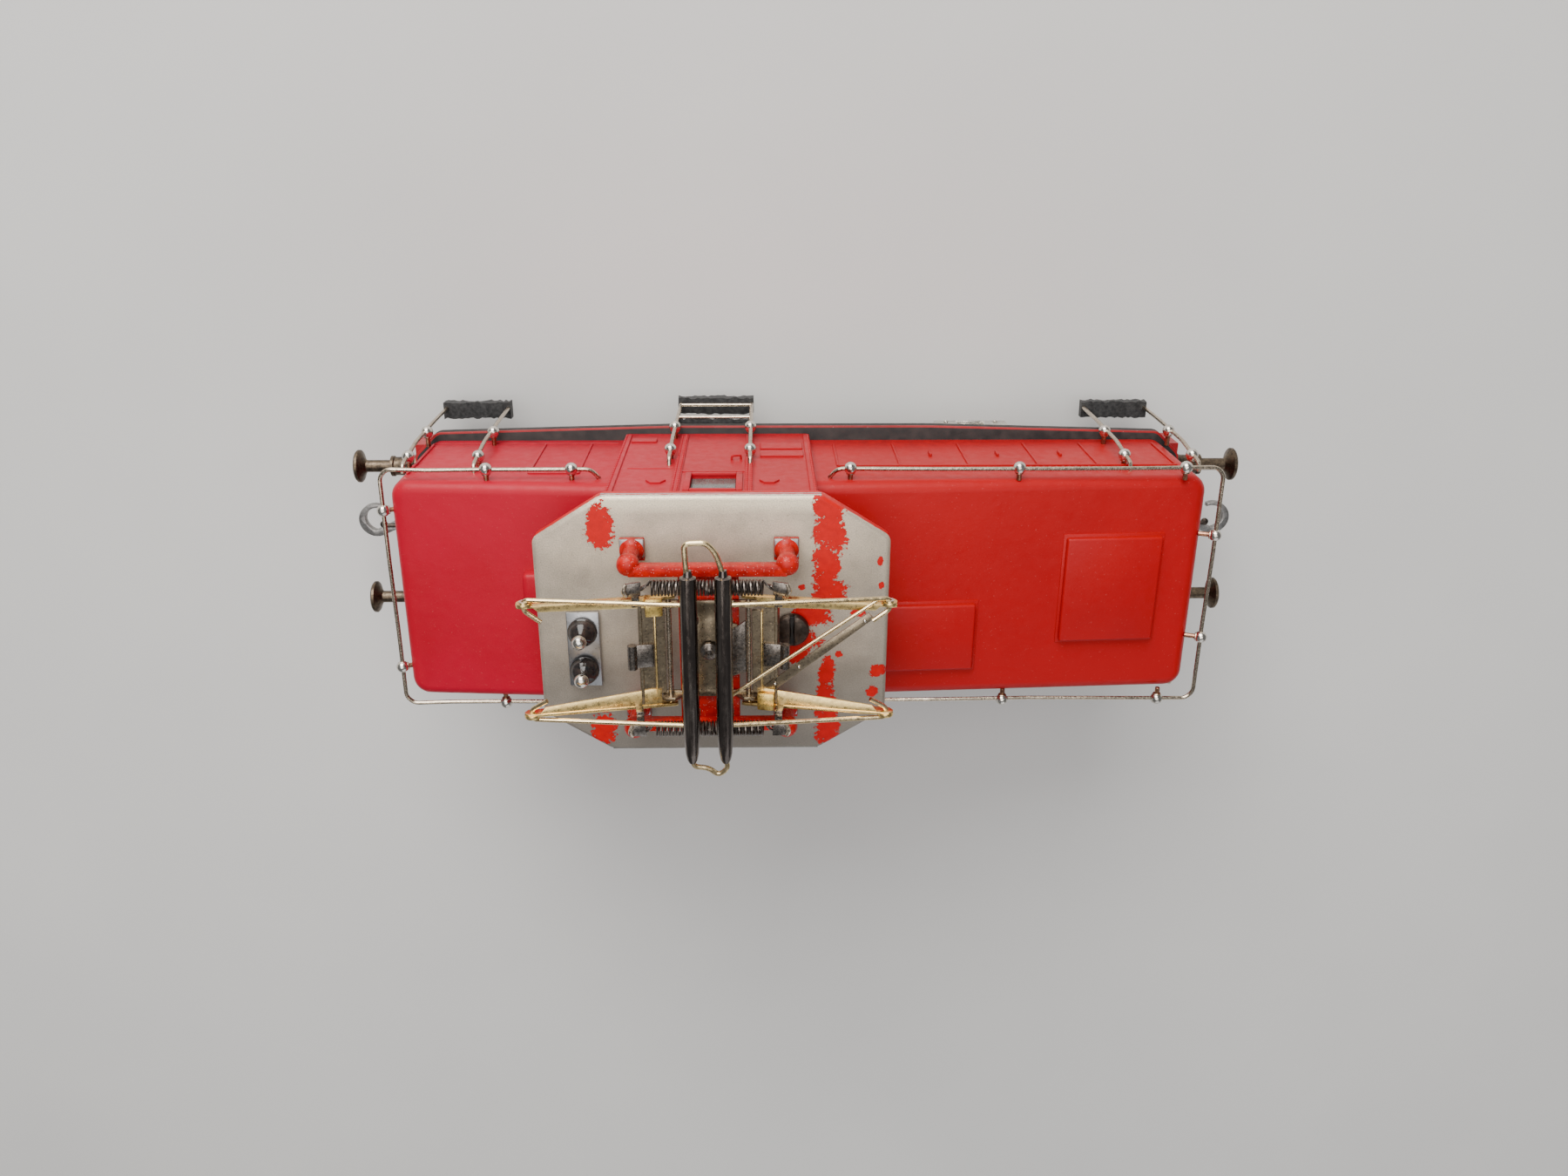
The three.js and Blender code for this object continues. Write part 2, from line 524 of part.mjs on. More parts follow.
// Sheet bracket on the base: its upturned ears carry the lower arms' pivot rods.
function pantographBracket() {
  const bottom = BASE_BAR_TOP - BASE_BAR_DEPTH + 0.3 + GAP;
  const plate = box(PANTOGRAPH_CENTRE - BRACKET_HALF_LENGTH, PANTOGRAPH_CENTRE + BRACKET_HALF_LENGTH,
    -EAR_OUTER_Y, EAR_OUTER_Y, bottom, bottom + SHEET);
  const ears = [-1, 1].flatMap((end) => [-1, 1].map((side) => box(
    PANTOGRAPH_CENTRE + end * (BRACKET_HALF_LENGTH - 0.4),
    PANTOGRAPH_CENTRE + end * (PIVOT_OFFSET + 0.9),
    side * EAR_INNER_Y, side * EAR_OUTER_Y, bottom, PIVOT_HEIGHT + 0.9)));
  const holes = [-1, 1].map((end) => rod(
    [PANTOGRAPH_CENTRE + end * PIVOT_OFFSET, -8, PIVOT_HEIGHT],
    [PANTOGRAPH_CENTRE + end * PIVOT_OFFSET, 8, PIVOT_HEIGHT], PIVOT_ROD_RADIUS + PIVOT_PLAY, 8));
  const screwHole = rod([PANTOGRAPH_CENTRE, 0, bottom - 1], [PANTOGRAPH_CENTRE, 0, bottom + 2],
    PANTOGRAPH_SCREW_RADIUS + GAP, 8);
  add('pantograph_bracket', cut(joined([plate, ...ears]), [...holes, screwHole]), STEEL);
  const seat = bottom + SHEET + GAP;
  const shank = rod([PANTOGRAPH_CENTRE, 0, seat - 3], [PANTOGRAPH_CENTRE, 0, seat + 0.2],
    PANTOGRAPH_SCREW_RADIUS, 8);
  const head = rod([PANTOGRAPH_CENTRE, 0, seat], [PANTOGRAPH_CENTRE, 0, seat + 0.7],
    PANTOGRAPH_SCREW_RADIUS + 0.5, 10);
  const slot = box(PANTOGRAPH_CENTRE - 2, PANTOGRAPH_CENTRE + 2, -0.2, 0.2, seat + 0.4, seat + 2);
  add('pantograph_screw', shank.add(head).subtract(slot), DARK_METAL);
}

// Lower arm frame, made level with its pivot at the origin and reaching along +X.
// Only the front frame, end +1, carries the slanting brace.
function lowerArmFrame(end) {
  const reach = LOWER_ARM_LENGTH;
  const flangeEnd = reach - 1.8;
  const floor = CROSS_MEMBER.bottom;
  const pieces = [rod([0, -6.2, 0], [0, 6.2, 0], PIVOT_ROD_RADIUS)];
  for (const side of [-1, 1]) {
    const inner = side * (ARM_OUTER_Y - SHEET);
    const outer = side * ARM_OUTER_Y;
    const web = polygon([[-0.7, -0.7], [reach + 0.6, -0.75], [reach + 0.9, 0], [reach + 0.6, 0.65],
      [2.6, 0.65], [-0.7, 0.65]]);
    const [nearPivot, nearKnee] = side * end > 0 ? FLANGE_LEFT : FLANGE_RIGHT;
    const flange = polygon([[CROSS_MEMBER.start, side * nearPivot], [CROSS_MEMBER.start, outer],
      [flangeEnd, outer], [flangeEnd, side * nearKnee]]);
    const lug = SPRING_LUG;
    pieces.push(sideProfile(web, inner, outer));
    pieces.push(planProfile(flange, floor, floor + SHEET));
    pieces.push(box(lug.start, lug.end, inner, outer, 0, lug.top));
    pieces.push(box(lug.start, lug.end, inner, side * (SPRING_Y + 0.5), lug.bottom, lug.top));
  }
  const cross = CROSS_MEMBER;
  pieces.push(box(cross.start, cross.end, -cross.halfWidth, cross.halfWidth, floor, floor + SHEET));
  pieces.push(box(cross.end - SHEET, cross.end, -cross.halfWidth, cross.halfWidth, -0.9, 0.3));
  if (end > 0) {
    const brace = polygon([[1.6, -3.8], [2.9, -4.2], [reach - 1.6, 4.7], [reach - 2.2, 5.4]]);
    pieces.push(planProfile(brace, floor, floor + SHEET));
  }
  const eyes = rod([reach, -8, 0], [reach, 8, 0], WIRE_RADIUS + PIVOT_PLAY, 8);
  return joined(pieces).subtract(eyes);
}

// Places a frame made along +X about the pivot of one side, turned up by an angle.
function placedArm(shape, side, angle, x, z) {
  const flipped = side > 0 ? shape : shape.rotate([0, 0, 180]);
  return flipped.rotate([0, -side * angle, 0]).translate([x, 0, z]);
}

const KNEE_OFFSET = PIVOT_OFFSET + LOWER_ARM_LENGTH * Math.cos(LOWER_ARM_ANGLE * DEG);
const KNEE_HEIGHT = PIVOT_HEIGHT + LOWER_ARM_LENGTH * Math.sin(LOWER_ARM_ANGLE * DEG);

function lowerArms() {
  for (const [label, side] of [['rear', -1], ['front', 1]]) {
    const frame = placedArm(lowerArmFrame(side), side, LOWER_ARM_ANGLE,
      PANTOGRAPH_CENTRE + side * PIVOT_OFFSET, PIVOT_HEIGHT);
    add(`lower_arm_${label}`, frame, BRASS);
  }
}

// Upper arm: one bent wire from a hooked knee to the bar under its pan and back.
function upperArms() {
  for (const [label, side] of [['rear', -1], ['front', 1]]) {
    const head = [PANTOGRAPH_CENTRE + side * PAN_OFFSET, HEAD_PIVOT_HEIGHT];
    const knee = [PANTOGRAPH_CENTRE + side * KNEE_OFFSET, KNEE_HEIGHT];
    const tail = [knee[0] - side * 0.9, knee[1] - 0.6];
    const frame = wire([
      [tail[0], 4.6, tail[1]], [knee[0], 5.6, knee[1]], [knee[0], WIRE_Y, knee[1]],
      [head[0], WIRE_Y, head[1]], [head[0], -WIRE_Y, head[1]],
      [knee[0], -WIRE_Y, knee[1]], [knee[0], -5.6, knee[1]], [tail[0], -4.6, tail[1]]], WIRE_RADIUS);
    const startX = knee[0] + (head[0] - knee[0]) * 0.2;
    const startZ = knee[1] + (head[1] - knee[1]) * 0.2;
    const brace = rod([startX, WIRE_Y - 0.05, startZ + 0.04], [head[0] + 0.04, -3.6, head[1] - 0.03],
      WIRE_RADIUS * 0.8, 4);
    add(`upper_arm_${label}`, side > 0 ? frame.add(brace) : frame, NICKEL);
  }
}

function collectorHead() {
  const pieces = [];
  const holes = [];
  for (const side of [-1, 1]) {
    const x = PANTOGRAPH_CENTRE + side * PAN_OFFSET;
    pieces.push(rod([x, -PAN_HALF_LENGTH, PAN_HEIGHT], [x, PAN_HALF_LENGTH, PAN_HEIGHT], PAN_RADIUS, 10));
    for (const y of [-EAR_INNER_Y, EAR_INNER_Y]) {
      pieces.push(box(x - 0.9, x + 0.9, y - 0.25, y + 0.25, HEAD_PIVOT_HEIGHT - 0.9, PAN_HEIGHT));
    }
    const play = side > 0 ? OPEN_PIVOT_PLAY : GAP;
    holes.push(rod([x, -6, HEAD_PIVOT_HEIGHT], [x, 6, HEAD_PIVOT_HEIGHT], WIRE_RADIUS + play, 8));
  }
  const rear = PANTOGRAPH_CENTRE - PAN_OFFSET;
  const front = PANTOGRAPH_CENTRE + PAN_OFFSET;
  const tip = PAN_HALF_LENGTH + 3.6;
  pieces.push(wire([[rear, PAN_HALF_LENGTH - 1, PAN_HEIGHT], [rear, tip, PAN_HEIGHT],
    [PANTOGRAPH_CENTRE - 0.6, tip + 0.2, PAN_HEIGHT], [PANTOGRAPH_CENTRE + 1, tip - 1.8, PAN_HEIGHT],
    [front, PAN_HALF_LENGTH, PAN_HEIGHT], [front, PAN_HALF_LENGTH - 1, PAN_HEIGHT]], 0.35));
  pieces.push(wire([[rear, 1 - PAN_HALF_LENGTH, PAN_HEIGHT], [rear, -PAN_HALF_LENGTH - 0.6, PAN_HEIGHT],
    [PANTOGRAPH_CENTRE + 0.6, -PAN_HALF_LENGTH - 1.6, PAN_HEIGHT],
    [front, -PAN_HALF_LENGTH - 0.3, PAN_HEIGHT], [front, 1 - PAN_HALF_LENGTH, PAN_HEIGHT]], 0.35));
  add('collector_head', cut(joined(pieces), holes), DARK_METAL);
}

function pantographSprings() {
  const reach = PIVOT_OFFSET + 2.3;
  for (const [label, side] of [['left', 1], ['right', -1]]) {
    const from = [PANTOGRAPH_CENTRE - reach, side * SPRING_Y, SPRING_HEIGHT];
    const to = [PANTOGRAPH_CENTRE + reach, side * SPRING_Y, SPRING_HEIGHT];
    add(`pantograph_spring_${label}`, rod(from, to, SPRING_RADIUS, 10), STEEL);
  }
}

// ---------------------------------------------------------------- rails and steps
// Round knob on a pin that stands off a wall facing along X or Y.
function knob(point, wall) {
  return rod(wall, point, KNOB_PIN_RADIUS, 4).add(ball(point, KNOB_RADIUS, 6, 3));
}

function handrail(name, end, inner, knobs) {
  const way = Math.sign(end);
  const out = way * RAIL_HALF_LENGTH;
  const wallFace = HOOD_HALF_WIDTH + GAP;
  const half = (side) => [
    [inner - way * (GAP + 0.6), side * wallFace, RAIL_HEIGHT - 0.3],
    [inner, side * RAIL_HALF_WIDTH, RAIL_HEIGHT],
    [out - way * RAIL_BEND, side * RAIL_HALF_WIDTH, RAIL_HEIGHT],
    [out, side * (RAIL_HALF_WIDTH - RAIL_BEND), RAIL_HEIGHT]];
  const pieces = [wire([...half(1), ...half(-1).reverse()], RAIL_WIRE_RADIUS)];
  for (const x of knobs.sides) {
    for (const side of [-1, 1]) {
      pieces.push(knob([x, side * RAIL_HALF_WIDTH, RAIL_HEIGHT], [x, side * wallFace, RAIL_HEIGHT]));
    }
  }
  for (const y of knobs.ends) {
    pieces.push(knob([out, y, RAIL_HEIGHT], [end + way * GAP, y, RAIL_HEIGHT - 0.6]));
  }
  add(name, joined(pieces), NICKEL);
}

function footplateEdge(x) {
  const flat = FOOTPLATE_HALF_LENGTH / 3;
  const taper = (Math.abs(x) - flat) / (FOOTPLATE_HALF_LENGTH - FOOTPLATE_CORNER - flat);
  return FOOTPLATE_HALF_WIDTH - Math.max(0, taper) * (FOOTPLATE_HALF_WIDTH - FOOTPLATE_END_HALF_WIDTH);
}

function sideStep(name, x0, x1, side, wall, upperTread) {
  const edge = Math.max(footplateEdge(x0), footplateEdge(x1));
  const rodY = edge + GAP + RAIL_WIRE_RADIUS;
  const boardTop = STEP_BOARD_HEIGHT + STEP_BOARD_THICKNESS / 2;
  const pieces = [];
  for (const x of [x0, x1]) {
    pieces.push(wire([[x, side * (wall + GAP), STEP_ROD_TOP], [x, side * (wall + 1), STEP_ROD_TOP - 0.4],
      [x, side * rodY, FOOTPLATE_TOP + 1], [x, side * rodY, STEP_ROD_BEND],
      [x, side * (rodY - 0.1), boardTop - 0.8]], RAIL_WIRE_RADIUS));
    for (const height of STEP_KNOB_HEIGHTS) {
      const share = (height - FOOTPLATE_TOP - 1) / (STEP_ROD_TOP - 0.4 - FOOTPLATE_TOP - 1);
      const y = rodY + share * (wall + 1 - rodY);
      pieces.push(knob([x, side * y, height], [x, side * (wall + GAP), height]));
    }
  }
  const boardOuter = rodY + 0.6;
  const boardInner = boardOuter - STEP_BOARD_DEPTH;
  pieces.push(box(x0 - 0.3, x1 + 0.3, side * boardInner, side * boardOuter,
    STEP_BOARD_HEIGHT - STEP_BOARD_THICKNESS / 2, boardTop));
  if (upperTread) {
    pieces.push(rod([x0, side * rodY, STEP_ROD_BEND], [x1, side * rodY, STEP_ROD_BEND], RAIL_WIRE_RADIUS));
  }
  add(name, joined(pieces), DARK_METAL);
}

function railsAndSteps() {
  handrail('handrail_short_hood', SHORT_HOOD_END, CAB_REAR - 2.4, SHORT_RAIL_KNOBS);
  handrail('handrail_long_hood', LONG_HOOD_END, CAB_FRONT + 2.6, LONG_RAIL_KNOBS);
  const outer = FOOTPLATE_HALF_LENGTH - END_STEP_SETBACK;
  const inner = outer - END_STEP_WIDTH;
  for (const [label, side] of [['left', 1], ['right', -1]]) {
    sideStep(`step_short_hood_${label}`, -outer, -inner, side, HOOD_HALF_WIDTH, false);
    sideStep(`step_cab_${label}`, CAB_STEP.rear, CAB_STEP.front, side, CAB_HALF_WIDTH, true);
    sideStep(`step_long_hood_${label}`, inner, outer, side, HOOD_HALF_WIDTH, false);
  }
}

// ---------------------------------------------------------------- buffers and couplers
function buffers() {
  const face = LENGTH_OVER_BUFFERS / 2;
  for (const [end, side] of [['short_hood', -1], ['long_hood', 1]]) {
    for (const [label, lateral] of [['left', 1], ['right', -1]]) {
      const beam = FOOTPLATE_HALF_LENGTH;
      const profile = [[0, beam - 2.4], [1.5, beam - 2.4], [1.5, beam - BEAM_THICKNESS - GAP],
        [BUFFER_SHANK_RADIUS, beam - BEAM_THICKNESS - GAP], [BUFFER_SHANK_RADIUS, beam + GAP],
        [1.7, beam + GAP], [1.4, beam + 1.2], [1.2, beam + 4], [BUFFER_SHANK_RADIUS, beam + 4.2],
        [BUFFER_SHANK_RADIUS, face - 1.4], [BUFFER_HEAD_RADIUS, face - 1], [BUFFER_HEAD_RADIUS, face - 0.5],
        [BUFFER_HEAD_RADIUS * 0.6, face - 0.1], [0, face]];
      const shape = turned(profile, [0, lateral * BUFFER_SPACING / 2, 0], 'x', 10);
      const placed = side > 0 ? shape : shape.mirror([1, 0, 0]);
      add(`buffer_${end}_${label}`, placed.translate([0, 0, BUFFER_HEIGHT]), DARK_METAL);
    }
  }
}

// Flat stamped hook, thickened under its end, swinging on an upright pin under the frame.
function couplers() {
  const pivotX = COUPLER_PIVOT_X;
  const root = COUPLER_REACH - 2 * HOOK_RADIUS - 0.4;
  const curl = (x, y, radius, from, to) => {
    const steps = 8;
    return Array.from({ length: steps + 1 }, (_, i) => {
      const angle = (from + (to - from) * i / steps) * DEG;
      return [x + radius * Math.cos(angle), y + radius * Math.sin(angle)];
    });
  };
  const centre = COUPLER_REACH - HOOK_RADIUS;
  const outline = polygon([
    [pivotX - 1.8, -1.6], [pivotX + 3, -1.2], [root, -0.6],
    ...curl(centre, 0.7, HOOK_RADIUS, -112, 116),
    ...curl(centre - 0.3, 0.85, HOOK_RADIUS - 0.65, 116, -76),
    [root + 0.6, 0.3], [root, 0.6], [pivotX + 3, 1.2], [pivotX - 1.8, 1.6]]);
  const bottom = COUPLER_HEIGHT - COUPLER_THICKNESS / 2;
  const top = COUPLER_HEIGHT + COUPLER_THICKNESS / 2;
  const hookEnd = box(COUPLER_REACH - HOOK_LENGTH, COUPLER_REACH + 1, -5, 5, bottom - 1, top);
  const pad = planProfile(outline, bottom - HOOK_PAD, top).intersect(hookEnd);
  const pivot = rod([pivotX, 0, 0], [pivotX, 0, 20], COUPLER_PIN_RADIUS + GAP, 10);
  const hook = planProfile(outline, bottom, top).add(pad).subtract(pivot);
  const headTop = bottom - GAP;
  for (const [label, side] of [['short_hood', -1], ['long_hood', 1]]) {
    add(`coupler_${label}`, side > 0 ? hook : hook.mirror([1, 0, 0]), DARK_METAL);
    const x = side * pivotX;
    const head = rod([x, 0, headTop - COUPLER_PIN_HEAD_THICKNESS], [x, 0, headTop],
      COUPLER_PIN_HEAD_RADIUS, 12);
    const shank = rod([x, 0, headTop - 0.2], [x, 0, top + 3], COUPLER_PIN_RADIUS, 8);
    const slot = box(x - 0.25, x + 0.25, -3, 3, bottom - 3, headTop - 0.4);
    add(`coupler_pin_${label}`, head.add(shank).subtract(slot), STEEL);
  }
}

// ---------------------------------------------------------------- frame and running gear
const AXLE_PLACES = [['rear', -WHEEL_SPACING], ['middle', 0], ['front', WHEEL_SPACING]];
const TRAIN = { x: Math.cos(GEAR_TRAIN_ANGLE * DEG), z: Math.sin(GEAR_TRAIN_ANGLE * DEG) };
const pitchRadius = (teeth) => teeth * GEAR_MODULE / 2;
const trainPoint = (distance) => [WHEEL_SPACING + TRAIN.x * distance, AXLE_HEIGHT + TRAIN.z * distance];
const IDLER_DISTANCE = pitchRadius(AXLE_GEAR_TEETH) + pitchRadius(IDLER_TEETH);
const [IDLER_X, IDLER_Z] = trainPoint(IDLER_DISTANCE);
const ARMATURE_DISTANCE = IDLER_DISTANCE + pitchRadius(IDLER_TEETH) + pitchRadius(PINION_TEETH);
const [ARMATURE_X, ARMATURE_Z] = trainPoint(ARMATURE_DISTANCE);
const MOTOR_PLATE_TOP = ARMATURE_Z + 4;

const skateStemHole = () => rod([SKATE_STEM_X, 0, 0], [SKATE_STEM_X, 0, FRAME_BOTTOM + 6],
  SKATE_STEM_RADIUS + GAP, 10);

function chassisFrame() {
  const plates = [-1, 1].map((side) => {
    const inner = side * (FRAME_HALF_WIDTH - FRAME_PLATE);
    const outer = side * FRAME_HALF_WIDTH;
    return box(-FRAME_HALF_LENGTH, FRAME_HALF_LENGTH, inner, outer, FRAME_BOTTOM, FRAME_TOP + 0.2);
  });
  const endBlock = WHEEL_SPACING + AXLE_CLEARANCE;
  const blocks = [[-FRAME_HALF_LENGTH, -endBlock], [MIDDLE_BLOCK.rear, MIDDLE_BLOCK.front],
    [endBlock, FRAME_HALF_LENGTH]]
    .map(([x0, x1]) => box(x0, x1, -FRAME_HALF_WIDTH, FRAME_HALF_WIDTH, FRAME_BOTTOM, FRAME_TOP + 0.2));
  const motorRear = ARMATURE_X - FIELD_HALF_WIDTH - 1;
  const decks = [[-FRAME_HALF_LENGTH, motorRear], [endBlock - 1.5, FRAME_HALF_LENGTH]]
    .map(([x0, x1]) => box(x0, x1, -DECK_HALF_WIDTH, DECK_HALF_WIDTH, FRAME_TOP, DECK_TOP));
  const bearing = box(ARMATURE_X - 5, IDLER_X + 6,
    -FRAME_HALF_WIDTH, FRAME_PLATE - FRAME_HALF_WIDTH - GAP, FRAME_TOP - 1, MOTOR_PLATE_TOP);
  const postTop = SCREW_FOOT + SCREW_GRIP;
  const post = rod([SCREW_X, 0, FRAME_TOP], [SCREW_X, 0, postTop], SCREW_POST_RADIUS, 12);
  const cuts = AXLE_PLACES.map(([, x]) => rod(
    [x, -10, AXLE_HEIGHT], [x, 10, AXLE_HEIGHT], AXLE_RADIUS + GAP, 12));
  cuts.push(rod([IDLER_X, -10, IDLER_Z], [IDLER_X, 0, IDLER_Z], IDLER_STUD_RADIUS + GAP, 10));
  cuts.push(rod([ARMATURE_X, -10, ARMATURE_Z], [ARMATURE_X, 0, ARMATURE_Z],
    ARMATURE_SHAFT_RADIUS + GAP, 10));
  cuts.push(rod([SCREW_X, 0, SCREW_FOOT - 1.3], [SCREW_X, 0, ROOF_TOP], SCREW_RADIUS + GAP, 10));
  cuts.push(skateStemHole());
  const couplerTop = COUPLER_HEIGHT + COUPLER_THICKNESS / 2;
  for (const side of [-1, 1]) {
    const x = side * COUPLER_PIVOT_X;
    cuts.push(rod([x, 0, FRAME_BOTTOM - 1], [x, 0, couplerTop + 3 + GAP], COUPLER_PIN_RADIUS + GAP, 10));
    cuts.push(box(x - side * 3.5, side * (FRAME_HALF_LENGTH + 5), -10, 10,
      FRAME_BOTTOM - 1, couplerTop + GAP));
  }
  add('chassis_frame', cut(joined([...plates, ...blocks, ...decks, bearing, post]), cuts), ZINC);
}

function wheelPin(angle, side) {
  const pinX = Math.cos(angle * DEG) * CRANK_RADIUS;
  const pinZ = Math.sin(angle * DEG) * CRANK_RADIUS;
  const face = WHEEL_BACK + WHEEL_WIDTH;
  const outside = face + GAP + ROD_THICKNESS + GAP;
  const stem = rod([pinX, side * (face - 1), pinZ], [pinX, side * (outside + 0.2), pinZ],
    CRANK_PIN_RADIUS, 8);
  const head = rod([pinX, side * outside, pinZ], [pinX, side * (outside + 0.7), pinZ],
    CRANK_PIN_HEAD_RADIUS, 10);
  return stem.add(head);
}

function wheel(side, angle) {
  const tread = WHEEL_RADIUS;
  const flange = WHEEL_RADIUS + FLANGE_DEPTH;
  const face = WHEEL_BACK + WHEEL_WIDTH;
  const bore = AXLE_RADIUS + GAP;
  const rim = tread - 1.2;
  const profile = [[bore, WHEEL_BACK], [flange - 0.4, WHEEL_BACK], [flange, WHEEL_BACK + 0.4],
    [tread, WHEEL_BACK + 0.9], [tread - 0.1, face], [rim, face], [rim - 0.2, face - 0.7],
    [2.6, face - 0.7], [2.4, face + 0.1], [bore, face + 0.1], [bore, WHEEL_BACK]];
  const disc = turned(profile, [0, 0, 0], 'y', 18);
  const boss = Math.cos(angle * DEG) * CRANK_RADIUS;
  const bossZ = Math.sin(angle * DEG) * CRANK_RADIUS;
  const crankBoss = rod([boss, face - 1, bossZ], [boss, face, bossZ], 1.5, 10)
    .subtract(rod([0, 0, 0], [0, face + 1, 0], bore, 18));
  const placed = side > 0 ? disc.add(crankBoss) : disc.add(crankBoss).mirror([0, 1, 0]);
  return placed.add(wheelPin(angle, side));
}

function wheelsets() {
  for (const [label, x] of AXLE_PLACES) {
    const reach = WHEEL_BACK + WHEEL_WIDTH + 0.2;
    add(`axle_${label}`, rod([x, -reach, AXLE_HEIGHT], [x, reach, AXLE_HEIGHT], AXLE_RADIUS, 12), STEEL);
    for (const [hand, side, angle] of [['left', 1, CRANK_ANGLE_LEFT], ['right', -1, CRANK_ANGLE_RIGHT]]) {
      add(`wheel_${label}_${hand}`, wheel(side, angle).translate([x, 0, AXLE_HEIGHT]), STEEL);
    }
  }
}

// Coupling rod over the crank pins of one side, with a thick boss around the front pin.
function couplingRods() {
  for (const [hand, side, angle] of [['left', 1, CRANK_ANGLE_LEFT], ['right', -1, CRANK_ANGLE_RIGHT]]) {
    const pinX = Math.cos(angle * DEG) * CRANK_RADIUS;
    const z = AXLE_HEIGHT + Math.sin(angle * DEG) * CRANK_RADIUS;
    const inner = WHEEL_BACK + WHEEL_WIDTH + GAP;
    const outer = inner + ROD_THICKNESS;
    const slab = (x0, x1, y0, y1, half) => box(x0, x1, side * y0, side * y1, z - half, z + half);
    const pins = AXLE_PLACES.map(([, x]) => x + pinX);
    const front = pins[2];
    const ends = pins.map((x) => rod([x, side * inner, z], [x, side * outer, z], ROD_END_RADIUS, 12));
    const collar = slab(front - ROD_BOSS_LENGTH / 2, front + ROD_BOSS_LENGTH / 2,
      inner, outer + ROD_BOSS_THICKNESS, ROD_BOSS_HALF_HEIGHT);
    const bar = slab(pins[0], front, inner, outer, ROD_HALF_HEIGHT);
    const holes = pins.map((x) => rod([x, side * (inner - 1), z], [x, side * (outer + 4), z],
      CRANK_PIN_RADIUS + GAP, 10));
    const headRoom = rod([front, side * outer, z], [front, side * (outer + 4), z],
      CRANK_PIN_HEAD_RADIUS + GAP, 12);
    add(`coupling_rod_${hand}`, cut(joined([bar, collar, ...ends]), [...holes, headRoom]), NICKEL);
  }
}

// Spur gear about an axis along Y. A tooth is centred on the given direction.
function gear(teeth, direction, y0, y1, bore) {
  const pitch = pitchRadius(teeth);
  const tip = pitch + GEAR_MODULE * 0.72;
  const root = pitch - GEAR_MODULE * 1.05;
  const step = 2 * Math.PI / teeth;
  const outline = [];
  for (let i = 0; i < teeth; i += 1) {
    const middle = direction * DEG + i * step;
    const corners = [[root, -0.3], [pitch, -0.205], [tip, -0.1], [tip, 0.1], [pitch, 0.205], [root, 0.3]];
    for (const [radius, share] of corners) {
      const angle = middle + share * step;
      outline.push([Math.cos(angle) * radius, Math.sin(angle) * radius]);
    }
  }
  const disc = sideProfile(polygon(outline), y0, y1);
  return bore > 0 ? disc.subtract(rod([0, y0 - 1, 0], [0, y1 + 1, 0], bore, 12)) : disc;
}

function gearTrain() {
  const y0 = GEAR_FACE;
  const y1 = GEAR_FACE + GEAR_WIDTH;
  const axleGear = gear(AXLE_GEAR_TEETH, GEAR_TRAIN_ANGLE, y0, y1, AXLE_RADIUS + GAP)
    .translate([WHEEL_SPACING, 0, AXLE_HEIGHT]);
  add('axle_gear', axleGear, BRASS);
  const idlerDirection = GEAR_TRAIN_ANGLE + 180 + 180 / IDLER_TEETH;
  const stud = rod([0, -FRAME_HALF_WIDTH - 0.6, 0], [0, y1 + 0.3, 0], IDLER_STUD_RADIUS, 8);
  const idler = gear(IDLER_TEETH, idlerDirection, y0, y1, 0).add(stud).translate([IDLER_X, 0, IDLER_Z]);
  add('idler_gear', idler, BRASS);
}

function motor() {
  const at = (shape) => shape.translate([ARMATURE_X, 0, ARMATURE_Z]);
  const front = ARMATURE_BACK + ARMATURE_LENGTH;
  const shaftRadius = ARMATURE_SHAFT_RADIUS;
  const plateBack = front + 1.2;
  const plateFront = plateBack + BRUSH_PLATE_THICKNESS;
  const stack = rod([0, ARMATURE_BACK + 0.4, 0], [0, front - 1.4, 0], ARMATURE_RADIUS, 18);
  const slots = [0, 120, 240].map((angle) => {
    const x = Math.cos(angle * DEG) * ARMATURE_RADIUS;
    const z = Math.sin(angle * DEG) * ARMATURE_RADIUS;
    return rod([x, -1, z], [x, front, z], 1.4, 8);
  });
  const commutator = rod([0, front - 1.5, 0], [0, front + 0.6, 0], 5, 18);
  const shaft = rod([0, -FRAME_HALF_WIDTH - 0.6, 0], [0, plateFront + 0.4, 0], shaftRadius, 10);
  const pinionDirection = GEAR_TRAIN_ANGLE + 180 + 180 / PINION_TEETH;
  const pinion = gear(PINION_TEETH, pinionDirection, GEAR_FACE, GEAR_FACE + GEAR_WIDTH, 0);
  add('armature', at(joined([cut(stack, slots), commutator, shaft, pinion])), COPPER);

  const bottom = FRAME_TOP + 0.2 + GAP - ARMATURE_Z;
  const bore = rod([0, -20, 0], [0, 20, 0], ARMATURE_RADIUS + GAP, 18);
  const field = box(-FIELD_HALF_WIDTH, FIELD_HALF_WIDTH, ARMATURE_BACK, front - 1.4,
    bottom, FIELD_HALF_HEIGHT);
  add('field_magnet', at(field.subtract(bore)), DARK_METAL);

  const plate = box(-FIELD_HALF_WIDTH, FIELD_HALF_WIDTH, plateBack, plateFront,
    bottom, FIELD_HALF_HEIGHT - 0.5);
  const shaftHole = rod([0, 0, 0], [0, 20, 0], shaftRadius + GAP, 10);
  const brushHoles = [-1, 1].map((side) => rod(
    [side * BRUSH_OFFSET, 0, 0], [side * BRUSH_OFFSET, 20, 0], BRUSH_RADIUS + GAP, 10));
  add('brush_plate', at(cut(plate, [shaftHole, ...brushHoles])), FIBRE);
  for (const [label, side] of [['rear', -1], ['front', 1]]) {
    const x = side * BRUSH_OFFSET;
    const brush = rod([x, front + 0.6 + GAP, 0], [x, plateFront + 0.2, 0], BRUSH_RADIUS, 10);
    add(`brush_${label}`, at(brush), COPPER);
  }
}

